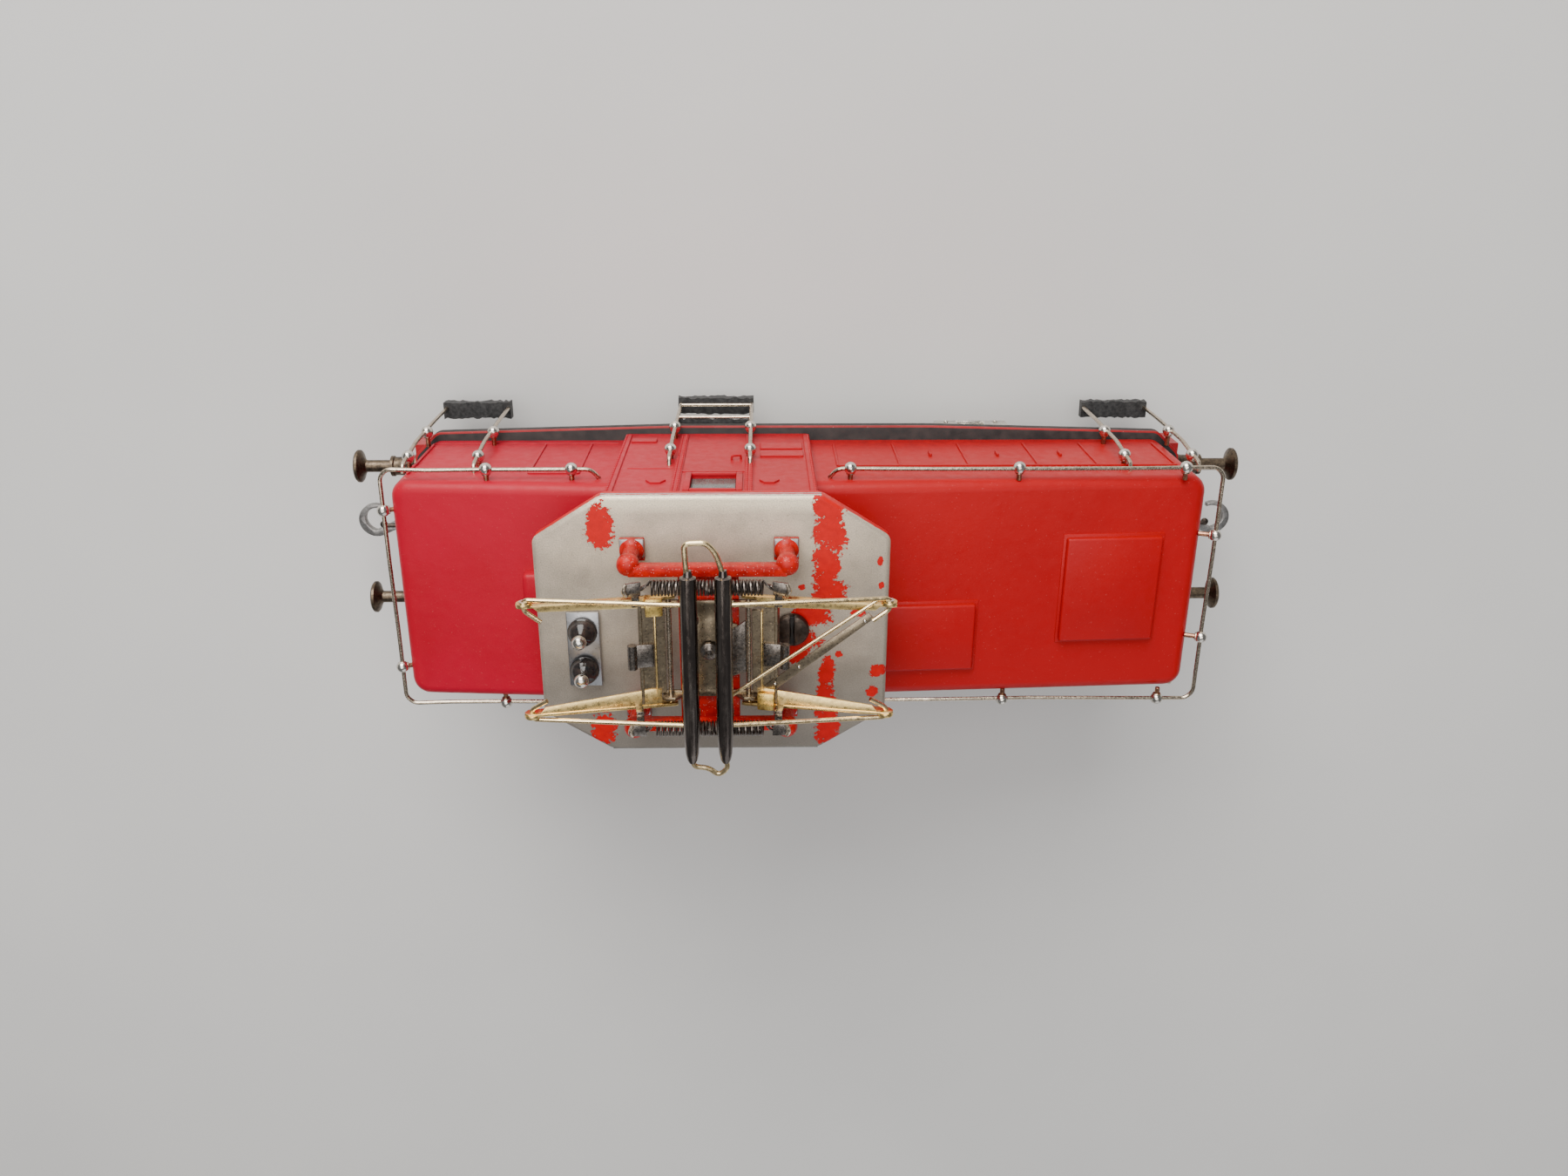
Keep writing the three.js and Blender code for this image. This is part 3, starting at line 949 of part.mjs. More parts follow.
function pickupSkate() {
  const top = SKATE_BOTTOM + SKATE_THICKNESS;
  const rise = 2.6;
  const outline = polygon([[SKATE_REAR, SKATE_BOTTOM + rise], [SKATE_REAR + SKATE_RAMP, SKATE_BOTTOM],
    [SKATE_FRONT - SKATE_RAMP, SKATE_BOTTOM], [SKATE_FRONT, SKATE_BOTTOM + rise],
    [SKATE_FRONT, top + rise], [SKATE_FRONT - SKATE_RAMP, top], [SKATE_REAR + SKATE_RAMP, top],
    [SKATE_REAR, top + rise]]);
  const shoe = sideProfile(outline, -SKATE_HALF_WIDTH, SKATE_HALF_WIDTH);
  const stem = rod([SKATE_STEM_X, 0, top - 0.2], [SKATE_STEM_X, 0, FRAME_BOTTOM + 3], SKATE_STEM_RADIUS, 8);
  add('pickup_skate', shoe.add(stem), STEEL);
  const plateTop = FRAME_BOTTOM - GAP;
  const plate = box(SKATE_PLATE.rear, SKATE_PLATE.front, -FRAME_HALF_WIDTH, FRAME_HALF_WIDTH,
    plateTop - SKATE_PLATE.thickness, plateTop);
  add('skate_plate', plate.subtract(skateStemHole()), FIBRE);
}

function lampBulbs() {
  const foot = DECK_TOP + GAP;
  for (const [label, side] of [['short_hood', -1], ['long_hood', 1]]) {
    const x = side * (FOOTPLATE_HALF_LENGTH - BULB_SETBACK);
    const bulb = turned([[0, 0], [1.9, 0], [1.9, 3.2], [1.7, 4.6], [1.2, 5.8], [0.6, 6.3], [0, 6.4]],
      [x, 0, foot], 'z', 10);
    add(`bulb_${label}`, bulb, CLEAR);
  }
}

bodyCasting();
cabGlazing();
headlampLenses();
roofScrew();
roofInsulators();
pantographBase();
pantographBracket();
lowerArms();
upperArms();
collectorHead();
pantographSprings();
railsAndSteps();
buffers();
couplers();
chassisFrame();
wheelsets();
couplingRods();
gearTrain();
motor();
pickupSkate();
lampBulbs();

export default locomotive;
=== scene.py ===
"""Three-axle electric shunting locomotive, 1:87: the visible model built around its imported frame."""
import math
import random

import bmesh
import bpy
from mathutils import Matrix, Vector


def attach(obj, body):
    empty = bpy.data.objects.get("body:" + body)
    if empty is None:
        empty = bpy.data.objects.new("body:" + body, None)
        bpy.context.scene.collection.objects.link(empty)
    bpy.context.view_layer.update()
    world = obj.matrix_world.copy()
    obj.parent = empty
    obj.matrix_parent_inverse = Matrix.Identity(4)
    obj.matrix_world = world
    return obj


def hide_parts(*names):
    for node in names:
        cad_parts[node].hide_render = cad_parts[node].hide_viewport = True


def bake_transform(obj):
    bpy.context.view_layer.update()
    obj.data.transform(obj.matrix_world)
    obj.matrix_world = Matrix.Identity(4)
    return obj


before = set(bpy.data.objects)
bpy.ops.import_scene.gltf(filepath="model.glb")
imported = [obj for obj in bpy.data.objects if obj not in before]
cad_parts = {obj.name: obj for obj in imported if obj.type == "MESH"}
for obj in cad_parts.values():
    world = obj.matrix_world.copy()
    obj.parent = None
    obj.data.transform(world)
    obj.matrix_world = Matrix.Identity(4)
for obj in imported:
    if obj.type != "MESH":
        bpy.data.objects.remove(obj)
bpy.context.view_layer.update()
chance = random.Random(87)

# ------------------------------------------------------------------ sizes in millimetres
MM = 0.001
GAP = 0.3
END_NAMES = {-1: "short_hood", 1: "long_hood"}
SIDE_NAMES = {1: "left", -1: "right"}
ARM_NAMES = {-1: "rear", 1: "front"}
END_AXES = {-1: "-X", 1: "X"}
SIDE_AXES = {-1: "-Y", 1: "Y"}
EVEN = (1, 1, 1)

FOOTPLATE_TOP = 16
FOOTPLATE_UNDER = 14.5
FOOTPLATE_HALF_LENGTH = 49.5
FOOTPLATE_HALF_WIDTH = 15.5
FOOTPLATE_END_HALF_WIDTH = 14.7
FOOTPLATE_CORNER = 3
BEAM_HALF_WIDTH = 13
BEAM_BOTTOM = 9.6
BUFFER_Y = 9.3
BUFFER_Z = 12.5
BUFFER_FACE = 58.5
LAMP_Z = 18.1
LAMP_RADIUS = 1.6

WALL = 1.2
HOOD_HALF_WIDTH = 13.65
HOOD_FOOT = 14.7
SHORT_HOOD = {"end": -47.8, "cab": -22.2, "high": 35.9, "low": 34.1}
LONG_HOOD = {"end": 47.4, "cab": 1.2, "high": 35.4, "low": 33.1}
CAB_REAR = -22.2
CAB_FRONT = 1.2
CAB_HALF_WIDTH = 14.5
CAB_TOP = 44.2
SIDE_WINDOW = (-12.95, -7.85, 34.9, 40.4)
END_WINDOW = (3, 11, 37, 41.2)
END_FRAME = 0.5
PANE = 0.3
GLAZING_SPAN = (33.6, 42.6)
RIVET_PITCH = 0.62
RIVET_RADIUS = 0.2
SHORT_DOOR_LINES = (-46.3, -32.2, -26.4)
LONG_DOOR_LINES = (4.2, 11.7, 20, 28.4, 35.6, 45)
LATCHES = (15.9, 24.2, 32)
LOUVRES = 12
LOUVRE_X = 27
LOUVRE_PITCH = 0.78
HATCHES = ((31, 42.5, -6.6, 6.6), (6, 20.6, -10, -1.5))

ROOF_X = -10.4
ROOF_HALF_LENGTH = 19.4
ROOF_HALF_WIDTH = 15.3
ROOF_SIDE_HALF_LENGTH = 11.8
ROOF_END_HALF_WIDTH = 10.5
ROOF_UNDER = 43.1
ROOF_TOP = 45
SCREW_X = -1.7

RAIL_Z = 33.5
RAIL_Y = 14.95
RAIL_X = 48.8
WIRE = 0.25
KNOB = 0.75

WHEEL_RADIUS = 7.2
FLANGE_RADIUS = 8.2
TYRE_BORE = 5.75
SPOKES = 11
AXLE_Z = 8.2
AXLES = {"rear": -26, "middle": 0, "front": 26}
WHEEL_BACK = 7
WHEEL_FACE = 10.2
CRANK_RADIUS = 3
CRANK_ANGLES = {1: -132.8, -1: -42.8}
ROD_INNER = 10.5
ROD_OUTER = 11.9

PANTO_X = -10.65
PIVOT_X = 4.2
PIVOT_Z = 50.9
ARM_LENGTH = 14.75
ARM_ANGLE = 9.5
ARM_Y = 6.35
KNEE_X = PIVOT_X + ARM_LENGTH * math.cos(math.radians(ARM_ANGLE))
KNEE_Z = PIVOT_Z + ARM_LENGTH * math.sin(math.radians(ARM_ANGLE))
WIRE_Y = 6.85
PAN_X = 1.75
PAN_Z = 56.4
HEAD_Z = 54.95
SPRING_Y = 8.1
SPRING_Z = 53.3
SPRING_REACH = 6.5
BAR_Y = 9
BAR_TOP = 51.2
BAR_HALF_LENGTH = 8.3


# ------------------------------------------------------------------ finishes
class Finish:
    """A material whose patterns are laid out in millimetres on the model."""

    def __init__(self, name, roughness=0.5, metallic=0.0):
        self.material = bpy.data.materials.new(name)
        self.material.use_nodes = True
        self.tree = self.material.node_tree
        self.shader = self.tree.nodes["Principled BSDF"]
        self.shader.inputs["Roughness"].default_value = roughness
        self.shader.inputs["Metallic"].default_value = metallic
        place = self.tree.nodes.new("ShaderNodeTexCoord")
        self.mm = self.tree.nodes.new("ShaderNodeMapping")
        self.mm.inputs["Scale"].default_value = (1 / MM, 1 / MM, 1 / MM)
        self.tree.links.new(place.outputs["Object"], self.mm.inputs["Vector"])
        self.place = self.mm.outputs["Vector"]

    def give(self, socket, value):
        """Sets a socket, or links it when the value comes from another node."""
        if isinstance(value, bpy.types.NodeSocket):
            self.tree.links.new(value, socket)
        else:
            socket.default_value = value

    def stretched(self, scale):
        node = self.tree.nodes.new("ShaderNodeMapping")
        node.inputs["Scale"].default_value = scale
        self.tree.links.new(self.place, node.inputs["Vector"])
        return node.outputs["Vector"]

    def noise(self, per_mm, detail=3, rough=0.55, along=EVEN):
        node = self.tree.nodes.new("ShaderNodeTexNoise")
        node.inputs["Scale"].default_value = per_mm
        node.inputs["Detail"].default_value = detail
        node.inputs["Roughness"].default_value = rough
        vector = self.place if along == EVEN else self.stretched(along)
        self.tree.links.new(vector, node.inputs["Vector"])
        return node.outputs["Fac"]

    def spots(self, per_mm):
        node = self.tree.nodes.new("ShaderNodeTexVoronoi")
        node.inputs["Scale"].default_value = per_mm
        self.tree.links.new(self.place, node.inputs["Vector"])
        return node.outputs["Distance"]

    def axis(self, name):
        node = self.tree.nodes.new("ShaderNodeSeparateXYZ")
        self.tree.links.new(self.place, node.inputs[0])
        return node.outputs[name]

    def ramp(self, value, low, high, to_low=0.0, to_high=1.0):
        node = self.tree.nodes.new("ShaderNodeMapRange")
        self.give(node.inputs["Value"], value)
        node.inputs["From Min"].default_value = low
        node.inputs["From Max"].default_value = high
        node.inputs["To Min"].default_value = to_low
        node.inputs["To Max"].default_value = to_high
        return node.outputs["Result"]

    def sum(self, kind, first, second):
        node = self.tree.nodes.new("ShaderNodeMath")
        node.operation = kind
        self.give(node.inputs[0], first)
        self.give(node.inputs[1], second)
        return node.outputs[0]

    def mix(self, share, first, second):
        node = self.tree.nodes.new("ShaderNodeMix")
        node.data_type = "RGBA"
        self.give(node.inputs["Factor"], share)
        for socket, colour in ((node.inputs[6], first), (node.inputs[7], second)):
            self.give(socket, colour if isinstance(colour, bpy.types.NodeSocket) else (*colour, 1))
        return node.outputs[2]

    def colour(self, value):
        self.give(self.shader.inputs["Base Color"],
                  value if isinstance(value, bpy.types.NodeSocket) else (*value, 1))

    def roughness(self, value):
        self.give(self.shader.inputs["Roughness"], value)

    def metallic(self, value):
        self.give(self.shader.inputs["Metallic"], value)

    def bump(self, height, depth_mm):
        node = self.tree.nodes.new("ShaderNodeBump")
        node.inputs["Strength"].default_value = 1.0
        node.inputs["Distance"].default_value = depth_mm * MM
        self.tree.links.new(height, node.inputs["Height"])
        if self.shader.inputs["Normal"].is_linked:
            self.tree.links.new(self.shader.inputs["Normal"].links[0].from_socket, node.inputs["Normal"])
        self.tree.links.new(node.outputs["Normal"], self.shader.inputs["Normal"])


def enamel(name, light, deep, roughness=0.36, dust=0.35, grain=0.012):
    """Sprayed enamel: slow drift of colour, orange peel, settled dust and small knocks."""
    made = Finish(name)
    drift = made.ramp(made.noise(0.08, 2), 0.35, 0.65)
    base = made.mix(drift, light, deep)
    specks = made.ramp(made.noise(5, 1), 0.7, 0.76, 0, dust)
    base = made.mix(specks, base, (0.62, 0.45, 0.42))
    made.colour(made.mix(made.ramp(made.noise(2.4, 4), 0.62, 0.72, 0, 0.16), base, (0.2, 0.01, 0.015)))
    made.roughness(made.ramp(made.noise(1.1, 3), 0.3, 0.7, roughness - 0.07, roughness + 0.1))
    made.bump(made.noise(3.2, 4, 0.6), grain)
    made.bump(made.ramp(made.noise(0.5, 2), 0.3, 0.7), grain * 2)
    return made.material


def plated(name, light, dark, roughness=0.28, along=EVEN, tarnish=0.5, grain=0.006, fine=3.0):
    """Bare or plated metal: drawn streaks, tarnish in patches and fine pits."""
    made = Finish(name, metallic=1.0)
    streaks = made.ramp(made.noise(fine, 5, 0.65, along), 0.35, 0.68)
    patches = made.ramp(made.noise(0.9, 3), 0.42, 0.7, 0, tarnish)
    base = made.mix(streaks, light, dark)
    made.colour(made.mix(patches, base, tuple(c * 0.42 for c in dark)))
    polish = made.noise(fine * 1.7, 4, 0.6, along)
    made.roughness(made.ramp(polish, 0.3, 0.7, roughness - 0.08, roughness + 0.16))
    made.bump(made.noise(fine * 2, 4, 0.6, along), grain)
    return made.material


def speckled(name, light, dark, flecks, roughness=0.3, per_mm=5.0):
    """Tinned or lacquered sheet, peppered with dark pits and bright flecks."""
    made = Finish(name, metallic=1.0)
    pits = made.ramp(made.spots(per_mm), 0.1, 0.26)
    broad = made.ramp(made.noise(0.7, 4), 0.35, 0.7)
    base = made.mix(broad, light, dark)
    made.colour(made.mix(pits, flecks, base))
    made.roughness(made.ramp(made.noise(4, 3), 0.3, 0.7, roughness - 0.06, roughness + 0.08))
    made.bump(made.noise(per_mm * 1.4, 3), 0.004)
    return made.material


def moulded(name, light, dark, roughness=0.3, per_mm=2.0, grain=0.01, metallic=0.0):
    """Plastic, rubber, fibre or dull cast stuff with a fine even grain."""
    made = Finish(name, metallic=metallic)
    made.colour(made.mix(made.ramp(made.noise(per_mm, 4), 0.35, 0.68), light, dark))
    made.roughness(made.ramp(made.noise(per_mm * 2, 3), 0.3, 0.7, roughness - 0.08, roughness + 0.12))
    made.bump(made.noise(per_mm * 3, 3), grain)
    return made.material


def patch_mask(made, ragged, patches):
    """Where paint has come off: ragged ellipses given as centre x, y and half sizes, in millimetres."""
    x, y = made.axis("X"), made.axis("Y")
    mask = None
    for centre_x, centre_y, half_x, half_y in patches:
        half_x, half_y = half_x * FLAKE_X_SHARE, half_y * FLAKE_Y_SHARE
        across = made.sum("DIVIDE", made.sum("SUBTRACT", x, centre_x), half_x)
        along = made.sum("DIVIDE", made.sum("SUBTRACT", y, centre_y), half_y)
        away = made.sum("ADD", made.sum("MULTIPLY", across, across), made.sum("MULTIPLY", along, along))
        inside = made.ramp(made.sum("ADD", away, ragged), 0.97, 1.05, 1, 0)
        mask = inside if mask is None else made.sum("MAXIMUM", mask, inside)
    return mask


# The ragged edge spreads a patch, so it starts a little smaller.
FLAKE_X_SHARE = 0.86
FLAKE_Y_SHARE = 0.93

# Bare patches on the roof, where the silver has flaked from the red: x, y, half x, half y.
ROOF_FLAKES = (
    (-22.4, 11.8, 1.7, 2.6), (2.3, 14.3, 1.9, 1.9), (2.4, 10.9, 1.9, 2.6), (2.0, 7.2, 1.6, 2.9),
    (2.3, 4.0, 2.0, 2.1), (0.7, 1.6, 2.7, 1.6), (-0.7, -1.6, 2.7, 1.5), (-1.6, -3.2, 2.2, 1.3),
    (2.2, -5.6, 1.1, 2.1), (2.3, -8.4, 1.2, 2.2), (2.5, -12.3, 1.6, 2.8), (-23.1, -12.4, 1.6, 2.3),
    (7.9, -5.3, 1.2, 0.8), (7.5, -7.9, 0.7, 0.7), (5.6, 1.7, 0.9, 0.5), (8.1, 5.0, 0.4, 0.4),
    (7.9, 7.8, 0.3, 0.5), (3.6, -3.3, 0.5, 0.4), (-0.6, 4.8, 0.5, 0.4))


def roof_paint():
    """Silver-beige roof paint over the red, flaked in patches and worn from the edge, with painted light:
    lighter towards +Y and a painted highlight along the +Y edge.
    """
    made = Finish("roof_silver_over_red", metallic=0.0)
    wander = made.noise(0.55, 5, 0.7)
    fine = made.noise(2.2, 4, 0.7)
    ragged = made.sum("ADD", made.ramp(wander, 0.25, 0.75, -0.85, 0.85), made.ramp(fine, 0.3, 0.7, -0.5, 0.5))
    flaked = patch_mask(made, ragged, ROOF_FLAKES)
    height = made.sum("ADD", made.axis("Z"), made.ramp(made.noise(1.4, 4), 0.2, 0.8, -0.2, 0.2))
    edge = made.ramp(height, 44.42, 44.5, 1, 0)
    bare = made.sum("MAXIMUM", flaked, edge)
    # Painted light: the silver is darker towards -Y and lighter towards +Y, where the light falls.
    silver_with_painted_light = made.mix(made.ramp(made.axis("Y"), -14, 14), (0.28, 0.25, 0.215), (0.7, 0.59, 0.46))
    silver_with_painted_light = made.mix(made.ramp(made.noise(0.35, 3), 0.35, 0.7, 0, 0.35), silver_with_painted_light, (0.2, 0.175, 0.145))
    # Painted highlight: a bright band along the +Y edge, where the rounded edge catches the light.
    silver_with_painted_light = made.mix(made.ramp(made.axis("Y"), 13.2, 14.4, 0, 0.85), silver_with_painted_light, (1.0, 0.88, 0.66))
    specks = made.ramp(made.noise(3.4, 2), 0.68, 0.74, 0, 0.5)
    silver_with_painted_light = made.mix(specks, silver_with_painted_light, (0.16, 0.12, 0.1))
    silver_with_painted_light = made.mix(made.ramp(made.noise(7, 2), 0.35, 0.7, 0, 0.3), silver_with_painted_light, (0.12, 0.105, 0.09))
    red = made.mix(made.ramp(made.noise(1.2, 3), 0.3, 0.7), (0.62, 0.001, 0.001), (0.5, 0.001, 0.001))
    made.shader.inputs["Specular IOR Level"].default_value = 0.25
    made.colour(made.mix(bare, silver_with_painted_light, red))
    made.metallic(made.ramp(bare, 0, 1, 0.45, 0.0))
    made.roughness(made.ramp(made.noise(2, 3), 0.3, 0.7, 0.36, 0.52))
    made.bump(made.noise(6, 3, 0.6), 0.02)
    made.bump(made.ramp(bare, 0, 1, 1, 0), 0.05)
    return made.material


def two_tone_red():
    """The body's enamel: crimson over the short hood, warming to scarlet over the long one."""
    made = Finish("body_red_enamel")
    made.shader.inputs["Specular IOR Level"].default_value = 0.24
    along = made.ramp(made.axis("X"), -34, 8)
    base = made.mix(along, (0.47, 0.001, 0.024), (0.42, 0.001, 0.004))
    drift = made.ramp(made.noise(0.07, 3), 0.38, 0.66, 0, 0.35)
    base = made.mix(drift, base, (0.33, 0.002, 0.005))
    specks = made.ramp(made.noise(4.5, 1), 0.7, 0.77, 0, 0.3)
    base = made.mix(specks, base, (0.6, 0.12, 0.11))
    # Darker in patches towards the foot of the walls.
    low = made.ramp(made.axis("Z"), 16, 22, 0.45, 0)
    low_darkening = made.sum("MULTIPLY", low, made.ramp(made.noise(0.8, 4), 0.35, 0.65))
    made.colour(made.mix(low_darkening, base, (0.09, 0.012, 0.014)))
    made.roughness(made.ramp(made.noise(0.9, 4), 0.3, 0.7, 0.34, 0.48))
    made.bump(made.noise(3.5, 4, 0.6), 0.012)
    made.bump(made.noise(0.35, 2), 0.05)
    return made.material


def worn_pan():
    """Burnished pan sheet: near-black, with bright streaks drawn along Y that are partly real drawing marks
    and partly painted highlights along the tube, and rubbed edges.
    """
    made = Finish("pan_burnished_steel", metallic=1.0)
    # The bright streak colour is partly a painted highlight running along the pan.
    streaks = made.ramp(made.noise(0.9, 4, 0.6, (3.2, 0.16, 3.2)), 0.48, 0.72, 0, 0.7)
    scuffs = made.ramp(made.noise(2.6, 4, 0.7, (1, 0.35, 1)), 0.66, 0.74, 0, 0.7)
    base = made.mix(streaks, (0.115, 0.095, 0.085), (0.36, 0.31, 0.27))
    made.colour(made.mix(scuffs, base, (0.5, 0.46, 0.42)))
    made.roughness(made.ramp(made.noise(3, 3, 0.6, (1, 0.4, 1)), 0.3, 0.7, 0.14, 0.3))
    made.bump(made.noise(5, 3, 0.5, (1, 0.2, 1)), 0.005)
    return made.material


def sparkling_red():
    """Thick red enamel on the pantograph's base, with white specks painted in as glints."""
    made = Finish("base_red_enamel")
    base = made.mix(made.ramp(made.noise(1.1, 3), 0.35, 0.65), (0.56, 0.006, 0.002), (0.36, 0.003, 0.002))
    # Painted glints: white specks scattered over the red.
    glint_specks = made.ramp(made.spots(4.5), 0.1, 0.17, 0.8, 0)
    made.shader.inputs["Specular IOR Level"].default_value = 0.3
    made.colour(made.mix(glint_specks, base, (0.85, 0.68, 0.6)))
    made.roughness(made.ramp(made.noise(2, 3), 0.3, 0.7, 0.26, 0.42))
    made.bump(made.noise(2.2, 4, 0.6), 0.05)
    return made.material


def window_plastic():
    """Greyish clear plastic, a little scratched."""
    made = Finish("window_plastic", roughness=0.18)
    made.shader.inputs["Transmission Weight"].default_value = 0.25
    made.shader.inputs["IOR"].default_value = 1.49
    made.colour(made.mix(made.ramp(made.noise(0.7, 3), 0.3, 0.7), (0.2, 0.215, 0.205), (0.11, 0.12, 0.115)))
    made.roughness(made.ramp(made.noise(3, 4, 0.6, (1, 1, 0.3)), 0.3, 0.7, 0.12, 0.32))
    made.bump(made.noise(1.5, 3), 0.01)
    return made.material


def lamp_glass():
    made = Finish("lamp_glass", roughness=0.08)
    made.shader.inputs["Transmission Weight"].default_value = 0.8
    made.shader.inputs["IOR"].default_value = 1.5
    made.colour(made.mix(made.ramp(made.noise(1.4, 3), 0.3, 0.7), (0.93, 0.92, 0.88), (0.8, 0.79, 0.74)))
    made.bump(made.noise(2.5, 2), 0.012)
    return made.material


BODY_RED = two_tone_red()
BEAM_RED = enamel("beam_red_enamel", (0.4, 0.004, 0.01), (0.28, 0.003, 0.006), 0.42)
BASE_RED = sparkling_red()
ROOF_PAINT = roof_paint()
DECK_BLACK = moulded("footplate_black", (0.008, 0.008, 0.008), (0.035, 0.028, 0.026), 0.6, 0.9, 0.02)
NICKEL = plated("nickel_wire", (0.72, 0.61, 0.47), (0.42, 0.34, 0.26), 0.2, EVEN, 0.3)
BRIGHT_NICKEL = plated("nickel_bright", (0.88, 0.84, 0.77), (0.6, 0.55, 0.48), 0.16, EVEN, 0.25)
COPPER_SHANK = plated("coppery_shank", (0.5, 0.24, 0.14), (0.22, 0.11, 0.08), 0.3)
GOLD_SHEET = plated("brass_sheet", (0.95, 0.7, 0.3), (0.8, 0.57, 0.23), 0.26, EVEN, 0.1, 0.004, 1.2)
BRIGHT_BRASS = plated("bright_brass", (1.0, 0.72, 0.22), (0.9, 0.6, 0.18), 0.28, EVEN, 0.05)
ARM_WIRE = plated("arm_wire", (0.84, 0.66, 0.38), (0.66, 0.5, 0.27), 0.2, EVEN, 0.14, 0.003, 1.2)
BRONZE_STRIP = speckled("bronze_strip", (0.36, 0.29, 0.2), (0.22, 0.175, 0.125), (0.46, 0.38, 0.27), 0.3, 2.8)
TINPLATE = speckled("tinplate", (0.34, 0.275, 0.19), (0.22, 0.175, 0.12), (0.5, 0.4, 0.26), 0.3, 2.6)
DARK_SHEET = plated("blued_sheet", (0.3, 0.265, 0.235), (0.11, 0.095, 0.085), 0.26, EVEN, 0.3)
PLATE_GREY = speckled("grey_plate", (0.46, 0.46, 0.47), (0.36, 0.36, 0.37), (0.24, 0.23, 0.23), 0.34, 3.0)
SPRING_STEEL = plated("spring_steel", (0.22, 0.19, 0.17), (0.1, 0.08, 0.07), 0.3)
PAN_STEEL = worn_pan()
BLACK_GLOSS = moulded("insulator_black", (0.012, 0.012, 0.013), (0.05, 0.035, 0.03), 0.12, 1.5, 0.004)
SCREW_BROWN = plated("screw_browned", (0.14, 0.11, 0.09), (0.06, 0.048, 0.042), 0.4, EVEN, 0.5, 0.02)
BUFFER_BRONZE = plated("buffer_browned_brass", (0.2, 0.15, 0.1), (0.07, 0.055, 0.045), 0.34, EVEN, 0.55,
                       0.015)
HOOK_GREY = plated("hook_grey", (0.46, 0.45, 0.44), (0.26, 0.25, 0.24), 0.42, EVEN, 0.3, 0.015)
TREAD_BLACK = moulded("tread_black", (0.012, 0.012, 0.013), (0.05, 0.05, 0.05), 0.55, 2.4, 0.05)
TYRE_STEEL = plated("tyre_steel", (0.52, 0.51, 0.5), (0.34, 0.33, 0.32), 0.28, EVEN, 0.2)
SPOKE_RED = enamel("wheel_red_enamel", (0.42, 0.016, 0.02), (0.3, 0.01, 0.014), 0.5)
ROD_NICKEL = plated("rod_nickel", (0.82, 0.79, 0.73), (0.6, 0.56, 0.5), 0.24, (0.3, 1, 1), 0.2, 0.01)
CASTING_BLACK = moulded("casting_black", (0.02, 0.02, 0.021), (0.06, 0.057, 0.055), 0.5, 1.4, 0.03, 0.4)
COPPER = plated("wound_copper", (0.62, 0.3, 0.17), (0.38, 0.17, 0.1), 0.3, (1, 6, 1), 0.2)
GEAR_BRASS = plated("gear_brass", (0.74, 0.56, 0.27), (0.5, 0.37, 0.18), 0.3)
MAGNET_STEEL = plated("magnet_steel", (0.2, 0.2, 0.2), (0.1, 0.1, 0.1), 0.4, (1, 5, 1), 0.3)
FIBRE_BROWN = moulded("pressed_fibre", (0.3, 0.16, 0.08), (0.18, 0.09, 0.05), 0.6, 3.0, 0.03)
WINDOW_PLASTIC = window_plastic()
LAMP_GLASS = lamp_glass()


# ------------------------------------------------------------------ shapes, in millimetres
def closed(bm):
    bmesh.ops.remove_doubles(bm, verts=bm.verts, dist=0.0008)
    bmesh.ops.recalc_face_normals(bm, faces=bm.faces)
    return bm


def soften(bm, edges, width, segments=2):
    bmesh.ops.bevel(bm, geom=list(edges), offset=width, offset_type="OFFSET", affect="EDGES",
                    segments=segments, profile=0.5, clamp_overlap=True, material=-1)


def raw_block(x0, x1, y0, y1, z0, z1):
    bm = bmesh.new()
    bmesh.ops.create_cube(bm, size=1)
    bmesh.ops.scale(bm, vec=(abs(x1 - x0), abs(y1 - y0), abs(z1 - z0)), verts=bm.verts)
    bmesh.ops.translate(bm, vec=((x0 + x1) / 2, (y0 + y1) / 2, (z0 + z1) / 2), verts=bm.verts)
    return bm


def block(x0, x1, y0, y1, z0, z1, rounding=0.12, segments=2):
    bm = raw_block(x0, x1, y0, y1, z0, z1)
    if rounding:
        soften(bm, bm.edges, rounding, segments)
    return closed(bm)


AXIS_TURNS = {
    "Z": Matrix.Identity(4),
    "X": Matrix.Rotation(math.pi / 2, 4, "Y"),
    "-X": Matrix.Rotation(-math.pi / 2, 4, "Y"),
    "Y": Matrix.Rotation(-math.pi / 2, 4, "X"),
    "-Y": Matrix.Rotation(math.pi / 2, 4, "X")}


def turned(profile, centre=(0, 0, 0), axis="Z", steps=24):
    """Radius and height pairs spun about an axis; a profile that ends where it starts makes a ring."""
    bm = bmesh.new()
    ring = profile[0] == profile[-1]
    verts = [bm.verts.new((radius, 0, height)) for radius, height in (profile[:-1] if ring else profile)]
    edges = [bm.edges.new(pair) for pair in zip(verts, verts[1:])]
    if ring:
        edges.append(bm.edges.new((verts[-1], verts[0])))
    bmesh.ops.spin(bm, geom=verts + edges, cent=(0, 0, 0), axis=(0, 0, 1), angle=math.tau,
                   steps=steps, use_merge=True)
    bmesh.ops.transform(bm, matrix=Matrix.Translation(centre) @ AXIS_TURNS[axis], verts=bm.verts)
    return closed(bm)


def pin(start, end, radius, steps=12, rounding=0.06):
    """Round bar between two points with broken edges."""
    start, end = Vector(start), Vector(end)
    length = (end - start).length
    bm = turned([(0, 0), (radius - rounding, 0), (radius, rounding), (radius, length - rounding),
                 (radius - rounding, length), (0, length)], steps=steps)
    turn = (end - start).to_track_quat("Z", "Y").to_matrix().to_4x4()
    bmesh.ops.transform(bm, matrix=Matrix.Translation(start) @ turn, verts=bm.verts)
    return bm


